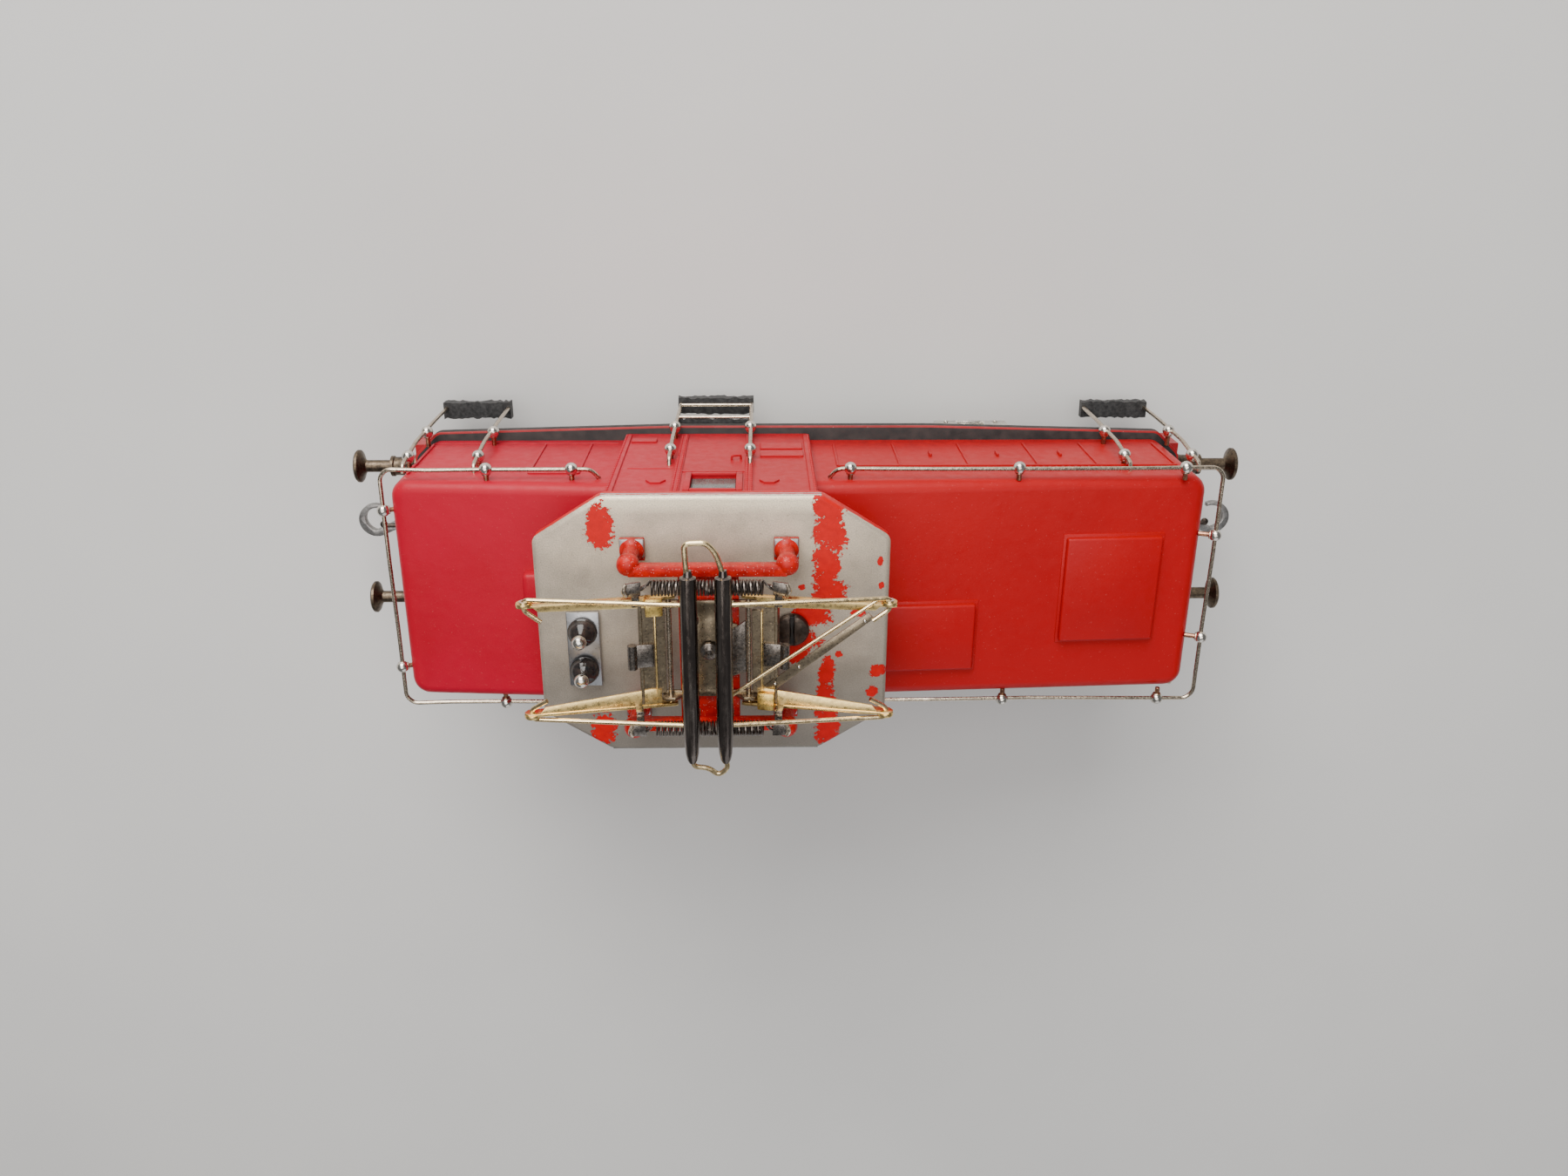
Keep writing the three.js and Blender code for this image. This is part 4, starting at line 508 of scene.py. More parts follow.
def ball(centre, radius, around=14, down=9):
    bm = bmesh.new()
    bmesh.ops.create_uvsphere(bm, u_segments=around, v_segments=down, radius=radius)
    bmesh.ops.translate(bm, vec=centre, verts=bm.verts)
    return bm


PLATE_AXES = {
    "Z": ((1, 0, 0), (0, 1, 0), (0, 0, 1)),
    "Y": ((1, 0, 0), (0, 0, 1), (0, 1, 0)),
    "X": ((0, 0, 1), (1, 0, 0), (0, 1, 0))}


def plate(outline, low, high, axis="Z", rounding=0.06, segments=2, corners=0.0):
    """Flat outline given thickness along an axis; corners rounds its upright edges first."""
    bm = bmesh.new()
    face = bm.faces.new([bm.verts.new((a, b, low)) for a, b in outline])
    moved = bmesh.ops.extrude_face_region(bm, geom=[face])["geom"]
    raised = [v for v in moved if isinstance(v, bmesh.types.BMVert)]
    bmesh.ops.translate(bm, vec=(0, 0, high - low), verts=raised)
    if corners:
        upright = [e for e in bm.edges if abs(e.verts[0].co.z - e.verts[1].co.z) > (high - low) / 2]
        soften(bm, upright, corners, 4)
    if rounding:
        soften(bm, [e for e in bm.edges if abs(e.verts[0].co.z - e.verts[1].co.z) < 1e-6], rounding, segments)
    bmesh.ops.transform(bm, matrix=Matrix(PLATE_AXES[axis]).to_4x4(), verts=bm.verts)
    return closed(bm)


def rounded_path(points, bend):
    """The points with each corner replaced by a short curve."""
    points = [Vector(p) for p in points]
    path = [points[0]]
    for before, corner, after in zip(points, points[1:], points[2:]):
        back, on = before - corner, after - corner
        reach = min(bend, back.length * 0.45, on.length * 0.45)
        start, end = corner + back.normalized() * reach, corner + on.normalized() * reach
        for step in range(6):
            t = step / 5
            path.append(start * (1 - t) ** 2 + corner * 2 * t * (1 - t) + end * t ** 2)
    return path + [points[-1]]


def bent_wire(points, radius, bend=0.7, resolution=3):
    """Round wire along the points, bent at each, with closed ends."""
    path = rounded_path(points, bend) if bend else [Vector(p) for p in points]
    curve = bpy.data.curves.new("wire", "CURVE")
    curve.dimensions = "3D"
    spline = curve.splines.new("POLY")
    spline.points.add(len(path) - 1)
    for place, point in zip(path, spline.points):
        point.co = (*place, 1)
    curve.bevel_depth = radius
    curve.bevel_resolution = resolution
    curve.use_fill_caps = True
    holder = bpy.data.objects.new("wire", curve)
    bpy.context.scene.collection.objects.link(holder)
    graph = bpy.context.evaluated_depsgraph_get()
    mesh = bpy.data.meshes.new_from_object(holder.evaluated_get(graph))
    bm = bmesh.new()
    bm.from_mesh(mesh)
    bpy.data.objects.remove(holder)
    bpy.data.curves.remove(curve)
    bpy.data.meshes.remove(mesh)
    return closed(bm)


def coil(start, end, radius, wire, turns, per_turn=12):
    """Helical spring whose axis runs along X."""
    count = turns * per_turn
    points = []
    for i in range(count + 1):
        share, angle = i / count, math.tau * i / per_turn
        points.append((start[0] + (end[0] - start[0]) * share, start[1] + radius * math.cos(angle),
                       start[2] + radius * math.sin(angle)))
    return bent_wire(points, wire, 0, 1)


class Piece:
    """One named piece, gathered in millimetres from shapes with their finishes."""

    def __init__(self):
        self.bm = bmesh.new()
        self.finishes = []

    def add(self, shape, finish, matrix=None):
        if finish not in self.finishes:
            self.finishes.append(finish)
        if matrix is not None:
            bmesh.ops.transform(shape, matrix=matrix, verts=shape.verts)
            if matrix.determinant() < 0:
                bmesh.ops.reverse_faces(shape, faces=shape.faces)
        for face in shape.faces:
            face.material_index = self.finishes.index(finish)
        mesh = bpy.data.meshes.new("shape")
        shape.to_mesh(mesh)
        shape.free()
        self.bm.from_mesh(mesh)
        bpy.data.meshes.remove(mesh)

    def place(self, name, body, slot, *nodes, smooth_under=35):
        bmesh.ops.scale(self.bm, vec=(MM, MM, MM), verts=self.bm.verts)
        mesh = bpy.data.meshes.new(name)
        self.bm.to_mesh(mesh)
        self.bm.free()
        for finish in self.finishes:
            mesh.materials.append(finish)
        mesh.shade_smooth()
        mesh.set_sharp_from_angle(angle=math.radians(smooth_under))
        piece = bpy.data.objects.new(name, mesh)
        bpy.context.scene.collection.objects.link(piece)
        if body is not None:
            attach(piece, body)
        if nodes:
            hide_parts(*nodes)
        return piece


MIRROR_Y = Matrix.Diagonal((1, -1, 1, 1))


# ------------------------------------------------------------------ body casting
def hood_height(hood, x):
    share = (x - hood["cab"]) / (hood["end"] - hood["cab"])
    return hood["high"] + (hood["low"] - hood["high"]) * share


def hood_shell(hood):
    """Hood casting: rounded end corners and top edge, open below and towards the cab."""
    side = math.copysign(1, hood["end"])
    inner = hood["cab"] - side * 0.6
    bm = raw_block(min(inner, hood["end"]), max(inner, hood["end"]), -HOOD_HALF_WIDTH, HOOD_HALF_WIDTH,
                   HOOD_FOOT, hood["high"])
    for vert in bm.verts:
        if vert.co.z > HOOD_FOOT + 1:
            vert.co.z = hood_height(hood, vert.co.x)

    def at_end(edge):
        return all(abs(v.co.x - hood["end"]) < 0.01 for v in edge.verts)

    upright = [e for e in bm.edges if at_end(e) and abs(e.verts[0].co.z - e.verts[1].co.z) > 5]
    soften(bm, upright, 2.1, 7)
    lid = max(bm.faces, key=lambda f: f.normal.z * f.calc_area())
    rim = [e for e in lid.edges if not all(abs(v.co.x - inner) < 0.01 for v in e.verts)]
    soften(bm, rim, 1.35, 6)
    open_faces = [f for f in bm.faces
                  if f.normal.z < -0.9 or all(abs(v.co.x - inner) < 0.01 for v in f.verts)]
    bmesh.ops.delete(bm, geom=open_faces, context="FACES")
    bmesh.ops.recalc_face_normals(bm, faces=bm.faces)
    if sum(f.calc_center_median().dot(f.normal) * f.calc_area() for f in bm.faces if f.normal.z > 0.9) < 0:
        bmesh.ops.reverse_faces(bm, faces=bm.faces)
    bmesh.ops.solidify(bm, geom=bm.faces[:], thickness=WALL)
    return bm


def cab_shell():
    """Cab walls with their window openings, open above and below."""
    bm = raw_block(CAB_REAR, CAB_FRONT, -CAB_HALF_WIDTH, CAB_HALF_WIDTH, HOOD_FOOT, CAB_TOP)
    soften(bm, [e for e in bm.edges if abs(e.verts[0].co.z - e.verts[1].co.z) > 5], 0.35, 3)
    left, right, sill, top = SIDE_WINDOW
    near, far, end_sill, end_top = END_WINDOW
    cuts = [((value, 0, 0), (1, 0, 0)) for value in (left, right)]
    cuts += [((0, value * side, 0), (0, 1, 0)) for value in (near, far) for side in (-1, 1)]
    cuts += [((0, 0, value), (0, 0, 1)) for value in (sill, top, end_sill, end_top)]
    for place, normal in cuts:
        bmesh.ops.bisect_plane(bm, geom=bm.verts[:] + bm.edges[:] + bm.faces[:], plane_co=place,
                               plane_no=normal, dist=0.0001)

    def is_opening(face):
        centre = face.calc_center_median()
        if abs(face.normal.z) > 0.9:
            return True
        if abs(face.normal.y) > 0.9:
            return left < centre.x < right and sill < centre.z < top
        if abs(face.normal.x) > 0.9:
            return near < abs(centre.y) < far and end_sill < centre.z < end_top
        return False

    bmesh.ops.delete(bm, geom=[f for f in bm.faces if is_opening(f)], context="FACES")
    bmesh.ops.solidify(bm, geom=bm.faces[:], thickness=WALL)
    return bm


def octagon(inset=0.0):
    long, wide = ROOF_HALF_LENGTH - inset, ROOF_HALF_WIDTH - inset
    quarter = [(long, ROOF_END_HALF_WIDTH), (ROOF_SIDE_HALF_LENGTH, wide)]
    corners = quarter + [(-x, y) for x, y in reversed(quarter)]
    corners += [(x, -y) for x, y in reversed(corners)]
    return [(x + ROOF_X, y) for x, y in corners]


def footplate_outline(inset=0.0):
    half, end = FOOTPLATE_HALF_LENGTH - inset, FOOTPLATE_END_HALF_WIDTH - inset
    quarter = [(half, end - FOOTPLATE_CORNER), (half - FOOTPLATE_CORNER, end),
               (FOOTPLATE_HALF_LENGTH / 3, FOOTPLATE_HALF_WIDTH - inset)]
    corners = quarter + [(-x, y) for x, y in reversed(quarter)]
    return corners + [(x, -y) for x, y in reversed(corners)]


def rivet_row(piece, x, y, side, z0, z1, finish):
    """A line of round rivet heads up a side wall."""
    count = int((z1 - z0) / RIVET_PITCH)
    for i in range(count + 1):
        bm = bmesh.new()
        bmesh.ops.create_icosphere(bm, subdivisions=1, radius=RIVET_RADIUS)
        bmesh.ops.translate(bm, vec=(x, side * y, z0 + i * RIVET_PITCH), verts=bm.verts)
        piece.add(bm, finish)


def raised_line(piece, x0, x1, y, side, z0, z1, finish, width=0.3, proud=0.2):
    """A fine moulded line on a side wall, from one corner to the other, upright or level."""
    if abs(x1 - x0) < 1e-6:
        x0, x1 = x0 - width / 2, x1 + width / 2
    if abs(z1 - z0) < 1e-6:
        z0, z1 = z0 - width / 2, z1 + width / 2
    piece.add(block(x0, x1, side * (y - 0.1), side * (y + proud), z0, z1, 0.05, 1), finish)


def lamp_housing(side, y):
    face = FOOTPLATE_HALF_LENGTH - 0.1
    profile = [(0, face - 3), (LAMP_RADIUS - 0.3, face - 3), (LAMP_RADIUS, face - 2.6),
               (LAMP_RADIUS, face - 0.35), (LAMP_RADIUS + 0.12, face - 0.3),
               (LAMP_RADIUS + 0.12, face - 0.05), (LAMP_RADIUS, face),
               (LAMP_RADIUS - 0.3, face), (LAMP_RADIUS - 0.35, face - 0.9), (0, face - 0.9)]
    return turned(profile, (0, y, LAMP_Z), END_AXES[side], 28)


def add_hood_sides(shell, side):
    """Door lines, louvres and latches on one side of both hoods."""
    wall = HOOD_HALF_WIDTH
    for x in SHORT_DOOR_LINES:
        raised_line(shell, x, x, wall, side, 18.2, 31, BODY_RED)
    raised_line(shell, -32.2, -26.4, wall, side, 31, 31, BODY_RED)
    raised_line(shell, -46.3, -23, wall, side, 17.6, 17.6, BODY_RED, 0.2, 0.1)
    for x in LONG_DOOR_LINES:
        raised_line(shell, x, x, wall, side, 18.2, 28.2, BODY_RED)
    raised_line(shell, 4.2, 45, wall, side, 28.2, 28.2, BODY_RED)
    for i in range(LOUVRES):
        x = LOUVRE_X + i * LOUVRE_PITCH
        shell.add(block(x, x + 0.36, side * (wall - 0.1), side * (wall + 0.2), 28.9, 30, 0.07, 1), BODY_RED)
    for x in LATCHES:
        shell.add(block(x - 0.16, x + 0.16, side * (wall - 0.1), side * (wall + 0.35), 22.3, 24, 0.08, 2),
                  BODY_RED)


def add_cab_sides(shell, side):
    """Rivet strips, door, window frame, plain bars and handle on one side of the cab."""
    wall = CAB_HALF_WIDTH
    for x, width in ((-21.75, 0.8), (-14.6, 1.0), (-6.4, 1.0), (0.75, 0.8)):
        shell.add(block(x - width / 2, x + width / 2, side * (wall - 0.1), side * (wall + 0.2),
                        17, 43, 0.06, 1), BODY_RED)
    for x in (-21.95, -14.85, -14.35, -6.65, -6.15, 0.95):
        rivet_row(shell, x, wall + 0.16, side, 17.6, 42.6, BODY_RED)
    raised_line(shell, -14.9, -6.0, wall, side, 33.2, 33.2, BODY_RED, 0.35, 0.12)
    raised_line(shell, -20.6, -15.2, wall, side, 31.8, 31.8, BODY_RED, 0.16, 0.08)
    left, right, sill, top = SIDE_WINDOW
    low, high = sill - 0.7, top + 0.7
    for x0, x1, z0, z1 in ((left - 0.75, left, low, high), (right, right + 0.75, low, high),
                           (left, right, low, sill), (left, right, top, high)):
        shell.add(block(x0, x1, side * (wall - 0.2), side * (wall + 0.3), z0, z1, 0.12, 2), BODY_RED)
    for x in (-16.9, -4.1):
        hexagon = [(x + 1.15 * math.cos(math.radians(a)), 36.9 + 1.15 * math.sin(math.radians(a)))
                   for a in range(0, 360, 60)]
        face = sorted((side * (wall - 0.05), side * (wall + 0.2)))
        shell.add(plate(hexagon, *face, axis="Y", rounding=0.05, segments=1), BODY_RED)
    for x0, x1, z0, z1 in ((-5.1, 0.1, 24.8, 27.1), (-5.1, 0.1, 21.5, 23.8), (-21.2, -18.0, 18.9, 20.4)):
        shell.add(block(x0, x1, side * (wall - 0.1), side * (wall + 0.24), z0, z1, 0.08, 1), BODY_RED)
    handle = [(-8.5, side * (wall - 0.1), 28.3), (-8.5, side * (wall + 0.5), 28.3),
              (-7.4, side * (wall + 0.5), 28.0), (-7.4, side * (wall - 0.1), 28.0)]
    shell.add(bent_wire(handle, 0.14, 0.25), BODY_RED)


def add_end_window_frames(shell, side):
    near, far, sill, top = END_WINDOW
    low, high = sill - END_FRAME, top + END_FRAME
    face = CAB_REAR if side < 0 else CAB_FRONT
    for y0, y1 in ((near, far), (-far, -near)):
        for a0, a1, z0, z1 in ((y0 - END_FRAME, y0, low, high), (y1, y1 + END_FRAME, low, high),
                               (y0, y1, low, sill), (y0, y1, top, high)):
            shell.add(block(face - side * 0.2, face + side * 0.22, a0, a1, z0, z1, 0.1, 2), BODY_RED)


def hatch_slab(x0, x1, y0, y1, margin, tall, lift, rounding, segments):
    """Slab on the long hood, wider by the margin, whose top follows the slope and stands above it."""
    high, low = hood_height(LONG_HOOD, x0), hood_height(LONG_HOOD, x1)
    slab = raw_block(x0 - margin, x1 + margin, y0 - margin, y1 + margin, low - 1, high + tall)
    for vert in slab.verts:
        if vert.co.z > high:
            vert.co.z = hood_height(LONG_HOOD, vert.co.x) + lift
    soften(slab, slab.edges, rounding, segments)
    return closed(slab)


def build_body():
    """The die-cast hoods and cab, with everything moulded on them."""
    shell = Piece()
    for hood in (SHORT_HOOD, LONG_HOOD):
        shell.add(hood_shell(hood), BODY_RED)
    shell.add(cab_shell(), BODY_RED)
    for side in (-1, 1):
        add_hood_sides(shell, side)
        add_cab_sides(shell, side)
    for side in (-1, 1):
        add_end_window_frames(shell, side)
    for x0, x1, y0, y1 in HATCHES:
        shell.add(hatch_slab(x0, x1, y0, y1, 0, 0.75, 0.85, 0.28, 3), BODY_RED)
        shell.add(hatch_slab(x0, x1, y0, y1, 0.35, 0.1, 0.14, 0.1, 2), BODY_RED)
    shell.add(block(-32.9, -27, -0.8, 3.1, 34, 36.5, 0.6, 4), BODY_RED)
    shell.place("body_shell", "root", "red_paint", "body_casting")


def build_roof():
    roof = Piece()
    top = plate(octagon(), ROOF_UNDER, ROOF_TOP, rounding=0, corners=0.6)
    rim = [e for e in top.edges if all(v.co.z > ROOF_TOP - 0.01 for v in e.verts)]
    soften(top, rim, 0.5, 5)
    under = [e for e in top.edges if all(v.co.z < ROOF_UNDER + 0.01 for v in e.verts)]
    soften(top, under, 0.15, 2)
    roof.add(closed(top), ROOF_PAINT)
    # Painted light along each long roof edge: a bright nickel line as a painted highlight, a recessed black
    # line as a painted shadow and a grey line beneath them.
    for side in (-1, 1):
        for z, proud, finish in ((44.62, 0.02, BRIGHT_NICKEL), (44.36, -0.06, DECK_BLACK),
                                 (44.1, 0.04, PLATE_GREY)):
            edge = side * (ROOF_HALF_WIDTH + proud - 0.1)
            roof.add(bent_wire([(ROOF_X - ROOF_SIDE_HALF_LENGTH, edge, z), (ROOF_X + 3, edge, z),
                                (ROOF_X + ROOF_SIDE_HALF_LENGTH, edge, z)], 0.11, 0, 1), finish)
    roof.place("roof_plate", "root", "red_paint")


def build_footplate():
    """Footplate with a thin red rim, and the buffer beams with their lamps and loops."""
    deck = Piece()
    for inset, low, high, rounding, corners, finish in (
            (0, FOOTPLATE_UNDER, FOOTPLATE_TOP - 0.28, 0.1, 0.6, DECK_BLACK),
            (0, FOOTPLATE_TOP - 0.3, FOOTPLATE_TOP, 0.08, 0.6, BEAM_RED),
            (0.22, FOOTPLATE_TOP - 0.1, FOOTPLATE_TOP + 0.05, 0.03, 0.5, DECK_BLACK)):
        deck.add(plate(footplate_outline(inset), low, high, rounding=rounding, corners=corners), finish)
    for side in (-1, 1):
        outer = side * FOOTPLATE_HALF_LENGTH
        inner = outer - side * 1.4
        beam = [(-BEAM_HALF_WIDTH, FOOTPLATE_TOP - 0.5), (-BEAM_HALF_WIDTH, BEAM_BOTTOM + 0.6),
                (-BEAM_HALF_WIDTH + 0.6, BEAM_BOTTOM), (-5, BEAM_BOTTOM), (-5, 10.3), (5, 10.3),
                (5, BEAM_BOTTOM), (BEAM_HALF_WIDTH - 0.6, BEAM_BOTTOM), (BEAM_HALF_WIDTH, BEAM_BOTTOM + 0.6),
                (BEAM_HALF_WIDTH, FOOTPLATE_TOP - 0.5)]
        deck.add(plate(beam, *sorted((outer, inner)), axis="X", rounding=0.12), BEAM_RED)
        for y in (-BUFFER_Y, BUFFER_Y):
            deck.add(block(outer - side * 0.2, outer + side * 0.22, y - 2.2, y + 2.2,
                           BUFFER_Z - 2.1, BUFFER_Z + 2.1, 0.1, 2), BEAM_RED)
            for bolt_y in (-1.75, 1.75):
                for bolt_z in (-1.65, 1.65):
                    deck.add(turned([(0.3, 0), (0.3, 0.12), (0.16, 0.24), (0, 0.26)],
                                    (outer + side * 0.2, y + bolt_y, BUFFER_Z + bolt_z),
                                    END_AXES[side], 8), BEAM_RED)
            deck.add(lamp_housing(side, y), BEAM_RED)
            deck.add(block(side * 47, side * 49.2, y - 0.8, y + 0.8, FOOTPLATE_TOP - 0.2, LAMP_Z - 1,
                           0.12, 2), BEAM_RED)
        for y in (-3.4, 3.4):
            proud = outer + side * 0.55
            loop = [(outer, y - 0.7, 13), (proud, y - 0.7, 13), (proud, y + 0.7, 13), (outer, y + 0.7, 13)]
            deck.add(bent_wire(loop, 0.16, 0.3), BEAM_RED)
    deck.place("footplate_and_beams", "root", "red_paint")


def build_windows_and_lenses():
    glass = Piece()
    x0, x1, half = CAB_REAR + 1.5, CAB_FRONT - 1.5, CAB_HALF_WIDTH - 1.5
    for low, high in ((half - PANE, half), (-half, -half + PANE)):
        glass.add(block(x0, x1, low, high, *GLAZING_SPAN, 0.05, 1), WINDOW_PLASTIC)
    left, right, sill, top = SIDE_WINDOW
    for side in (-1, 1):
        pane = sorted((side * (CAB_HALF_WIDTH - 1.52), side * (CAB_HALF_WIDTH - 0.3)))
        glass.add(block(left + 0.03, right - 0.03, *pane, sill + 0.03, top - 0.03, 0.1, 2), WINDOW_PLASTIC)
    for low, high in ((x0, x0 + PANE), (x1 - PANE, x1)):
        glass.add(block(low, high, -half + PANE + 0.02, half - PANE - 0.02, *GLAZING_SPAN, 0.05, 1),
                  WINDOW_PLASTIC)
    glass.place("cab_windows", "root", "glazing", "cab_glazing")

    for side in (-1, 1):
        for y in (-BUFFER_Y, BUFFER_Y):
            lens = Piece()
            back = FOOTPLATE_HALF_LENGTH - 0.6
            lens.add(turned([(0, back), (0.9, back), (0.95, back + 0.25), (0.7, back + 0.55),
                             (0.35, back + 0.68), (0, back + 0.72)], (0, y, LAMP_Z), END_AXES[side], 20),
                     LAMP_GLASS)
            name = f"headlamp_lens_{END_NAMES[side]}_{SIDE_NAMES[1 if y > 0 else -1]}"
            lens.place(f"{name}_glass", "root", "glazing", name)


# ------------------------------------------------------------------ roof fittings
def build_roof_fittings():
    screw = Piece()
    seat = ROOF_TOP + GAP
    head = turned([(0, 0), (1.75, 0), (1.9, 0.12), (1.9, 0.55), (1.7, 0.85), (1.2, 0.98), (0, 1.0)],
                  (SCREW_X, 0, seat), "Z", 40)
    for x in (-0.28, 0.28):
        bmesh.ops.bisect_plane(head, geom=head.verts[:] + head.edges[:] + head.faces[:],
                               plane_co=(SCREW_X + x, 0, 0), plane_no=(1, 0, 0), dist=0.0001)
    for vert in head.verts:
        if abs(vert.co.x - SCREW_X) < 0.271 and vert.co.z > seat + 0.5:
            vert.co.z = seat + 0.45
    for vert in head.verts:
        if abs(abs(vert.co.x - SCREW_X) - 0.28) < 0.002 and vert.co.z > seat + 0.5:
            vert.co.z -= 0.04
    screw.add(closed(head), SCREW_BROWN)
    # A black bar in the bottom of the slot: painted shade in the screw slot.
    screw.add(block(SCREW_X - 0.24, SCREW_X + 0.24, -1.62, 1.62, seat + 0.4, seat + 0.62, 0.03, 1),
              DECK_BLACK)
    screw.add(pin((SCREW_X, 0, seat + 0.1), (SCREW_X, 0, seat - 20), 1.0), SCREW_BROWN)
    screw.place("roof_screw_head", "root", "burnished_steel", "roof_screw")

    base = Piece()
    base.add(block(-26.5, -22.9, -6.65, 2.25, ROOF_TOP + GAP, ROOF_TOP + GAP + 0.5, 0.12, 2), PLATE_GREY)
    base.place("insulator_base_plate", "root", "tinplate", "insulator_plate")
    for side in (-1, 1):
        y = -2.2 + side * 2.3
        cap = Piece()
        foot = ROOF_TOP + 2 * GAP + 0.5
        cap.add(turned([(0, 0), (1.5, 0), (1.62, 0.12), (1.62, 0.3), (1.48, 0.42), (1.56, 0.55), (1.5, 0.78),
                        (1.3, 1.1), (0.98, 1.42), (0.6, 1.66), (0.5, 1.8), (0, 1.82)],
                       (-24.7, y, foot), "Z", 36), BLACK_GLOSS)
        cap.add(turned([(0, 1.6), (0.42, 1.65), (0.42, 2.2), (0.52, 2.35), (0.74, 2.6), (0.82, 2.95),
                        (0.72, 3.3), (0.42, 3.6), (0, 3.68)], (-24.7, y, foot), "Z", 24), BRIGHT_NICKEL)
        name = f"insulator_{SIDE_NAMES[side]}"
        cap.place(f"{name}_cap", "root", "black_insulator", name)


# ------------------------------------------------------------------ pantograph
def build_pantograph_base():
    base = Piece()
    foot = ROOF_TOP + GAP
    for side in (-1, 1):
        base.add(block(PANTO_X - BAR_HALF_LENGTH, PANTO_X + BAR_HALF_LENGTH, side * BAR_Y - 0.6,
                       side * BAR_Y + 0.6, BAR_TOP - 1.5, BAR_TOP, 0.16, 2), BASE_RED)
        for end in (-1, 1):
            x, y = PANTO_X + end * BAR_HALF_LENGTH, side * (BAR_Y + 0.5)
            base.add(turned([(0, 0), (1.3, 0), (1.35, 0.1), (1.3, 0.8), (0.9, 1.2), (0.8, 2.2), (0.82, 3.6),
                             (1.1, 4.2), (1.2, 4.8), (1.16, 5.3), (0.96, 5.75), (0.55, 6.0), (0, 6.08)],
                            (x, y, foot), "Z", 26), BASE_RED)
            base.add(block(x - 1.35, x + 1.35, y - 1.3, y + 1.3, foot, foot + 0.4, 0.12, 2), BASE_RED)
            base.add(block(x - 1.3, x + 1.3, y - 0.8, y + 1.25, foot + 0.3, foot + 0.75, 0.1, 2), PLATE_GREY)
    base.add(block(PANTO_X - 3.2, PANTO_X + 3.2, -BAR_Y, BAR_Y, BAR_TOP - 2.2, BAR_TOP - 1.2, 0.15, 2),
             BASE_RED)
    base.place("pantograph_base_frame", "root", "red_paint", "pantograph_base")

    bracket = Piece()
    low = 50.3
    quarter = [(5.1, 5.6), (5.1, 4.9), (1.3, 4.9), (1.3, 3.5), (3.0, 2.8)]
    half = quarter + [(x, -y) for x, y in reversed(quarter)]
    outline = [(PANTO_X + x, y) for x, y in half] + [(PANTO_X - x, y) for x, y in reversed(half)]
    bracket.add(plate(outline, low, low + 0.35, rounding=0.06), TINPLATE)
    for end in (-1, 1):
        for side in (-1, 1):
            ear = [(PANTO_X + end * 2.4, low), (PANTO_X + end * 5.1, low), (PANTO_X + end * 5.1, 51.5),
                   (PANTO_X + end * 4.7, 51.8), (PANTO_X + end * 3.7, 51.8), (PANTO_X + end * 2.9, 51.0)]
            bracket.add(plate(ear, *sorted((side * 5.2, side * 5.6)), axis="Y", rounding=0.06), TINPLATE)
    wing = [(PANTO_X + 2.2, 2.2), (PANTO_X + 3.9, 3.4), (PANTO_X + 3.9, -2.6), (PANTO_X + 2.2, -3.2)]
    bracket.add(plate(wing, low + 0.33, low + 0.62, rounding=0.08), DARK_SHEET)
    bracket.place("pantograph_bracket_plate", "root", "tinplate", "pantograph_bracket")

    screw = Piece()
    seat = low + 0.65
    screw.add(pin((PANTO_X, 0, seat - 3), (PANTO_X, 0, seat + 0.3), 0.7), TYRE_STEEL)
    screw.add(turned([(0, 0), (0.95, 0), (1.0, 0.1), (0.95, 0.4), (0.7, 0.62), (0.3, 0.68), (0.2, 0.5),
                      (0, 0.5)], (PANTO_X, 0, seat), "Z", 26), DARK_SHEET)
    screw.place("pantograph_screw_head", "root", "burnished_steel", "pantograph_screw")


def arm_matrix(side):
    """Sets a lower arm, made level along +X from its pivot, at its folded angle on either side."""
    turn = Matrix.Rotation(-math.radians(ARM_ANGLE), 4, "Y")
    flip = Matrix.Identity(4) if side > 0 else Matrix.Rotation(math.pi, 4, "Z")
    return Matrix.Translation((PANTO_X + side * PIVOT_X, 0, PIVOT_Z)) @ flip @ turn


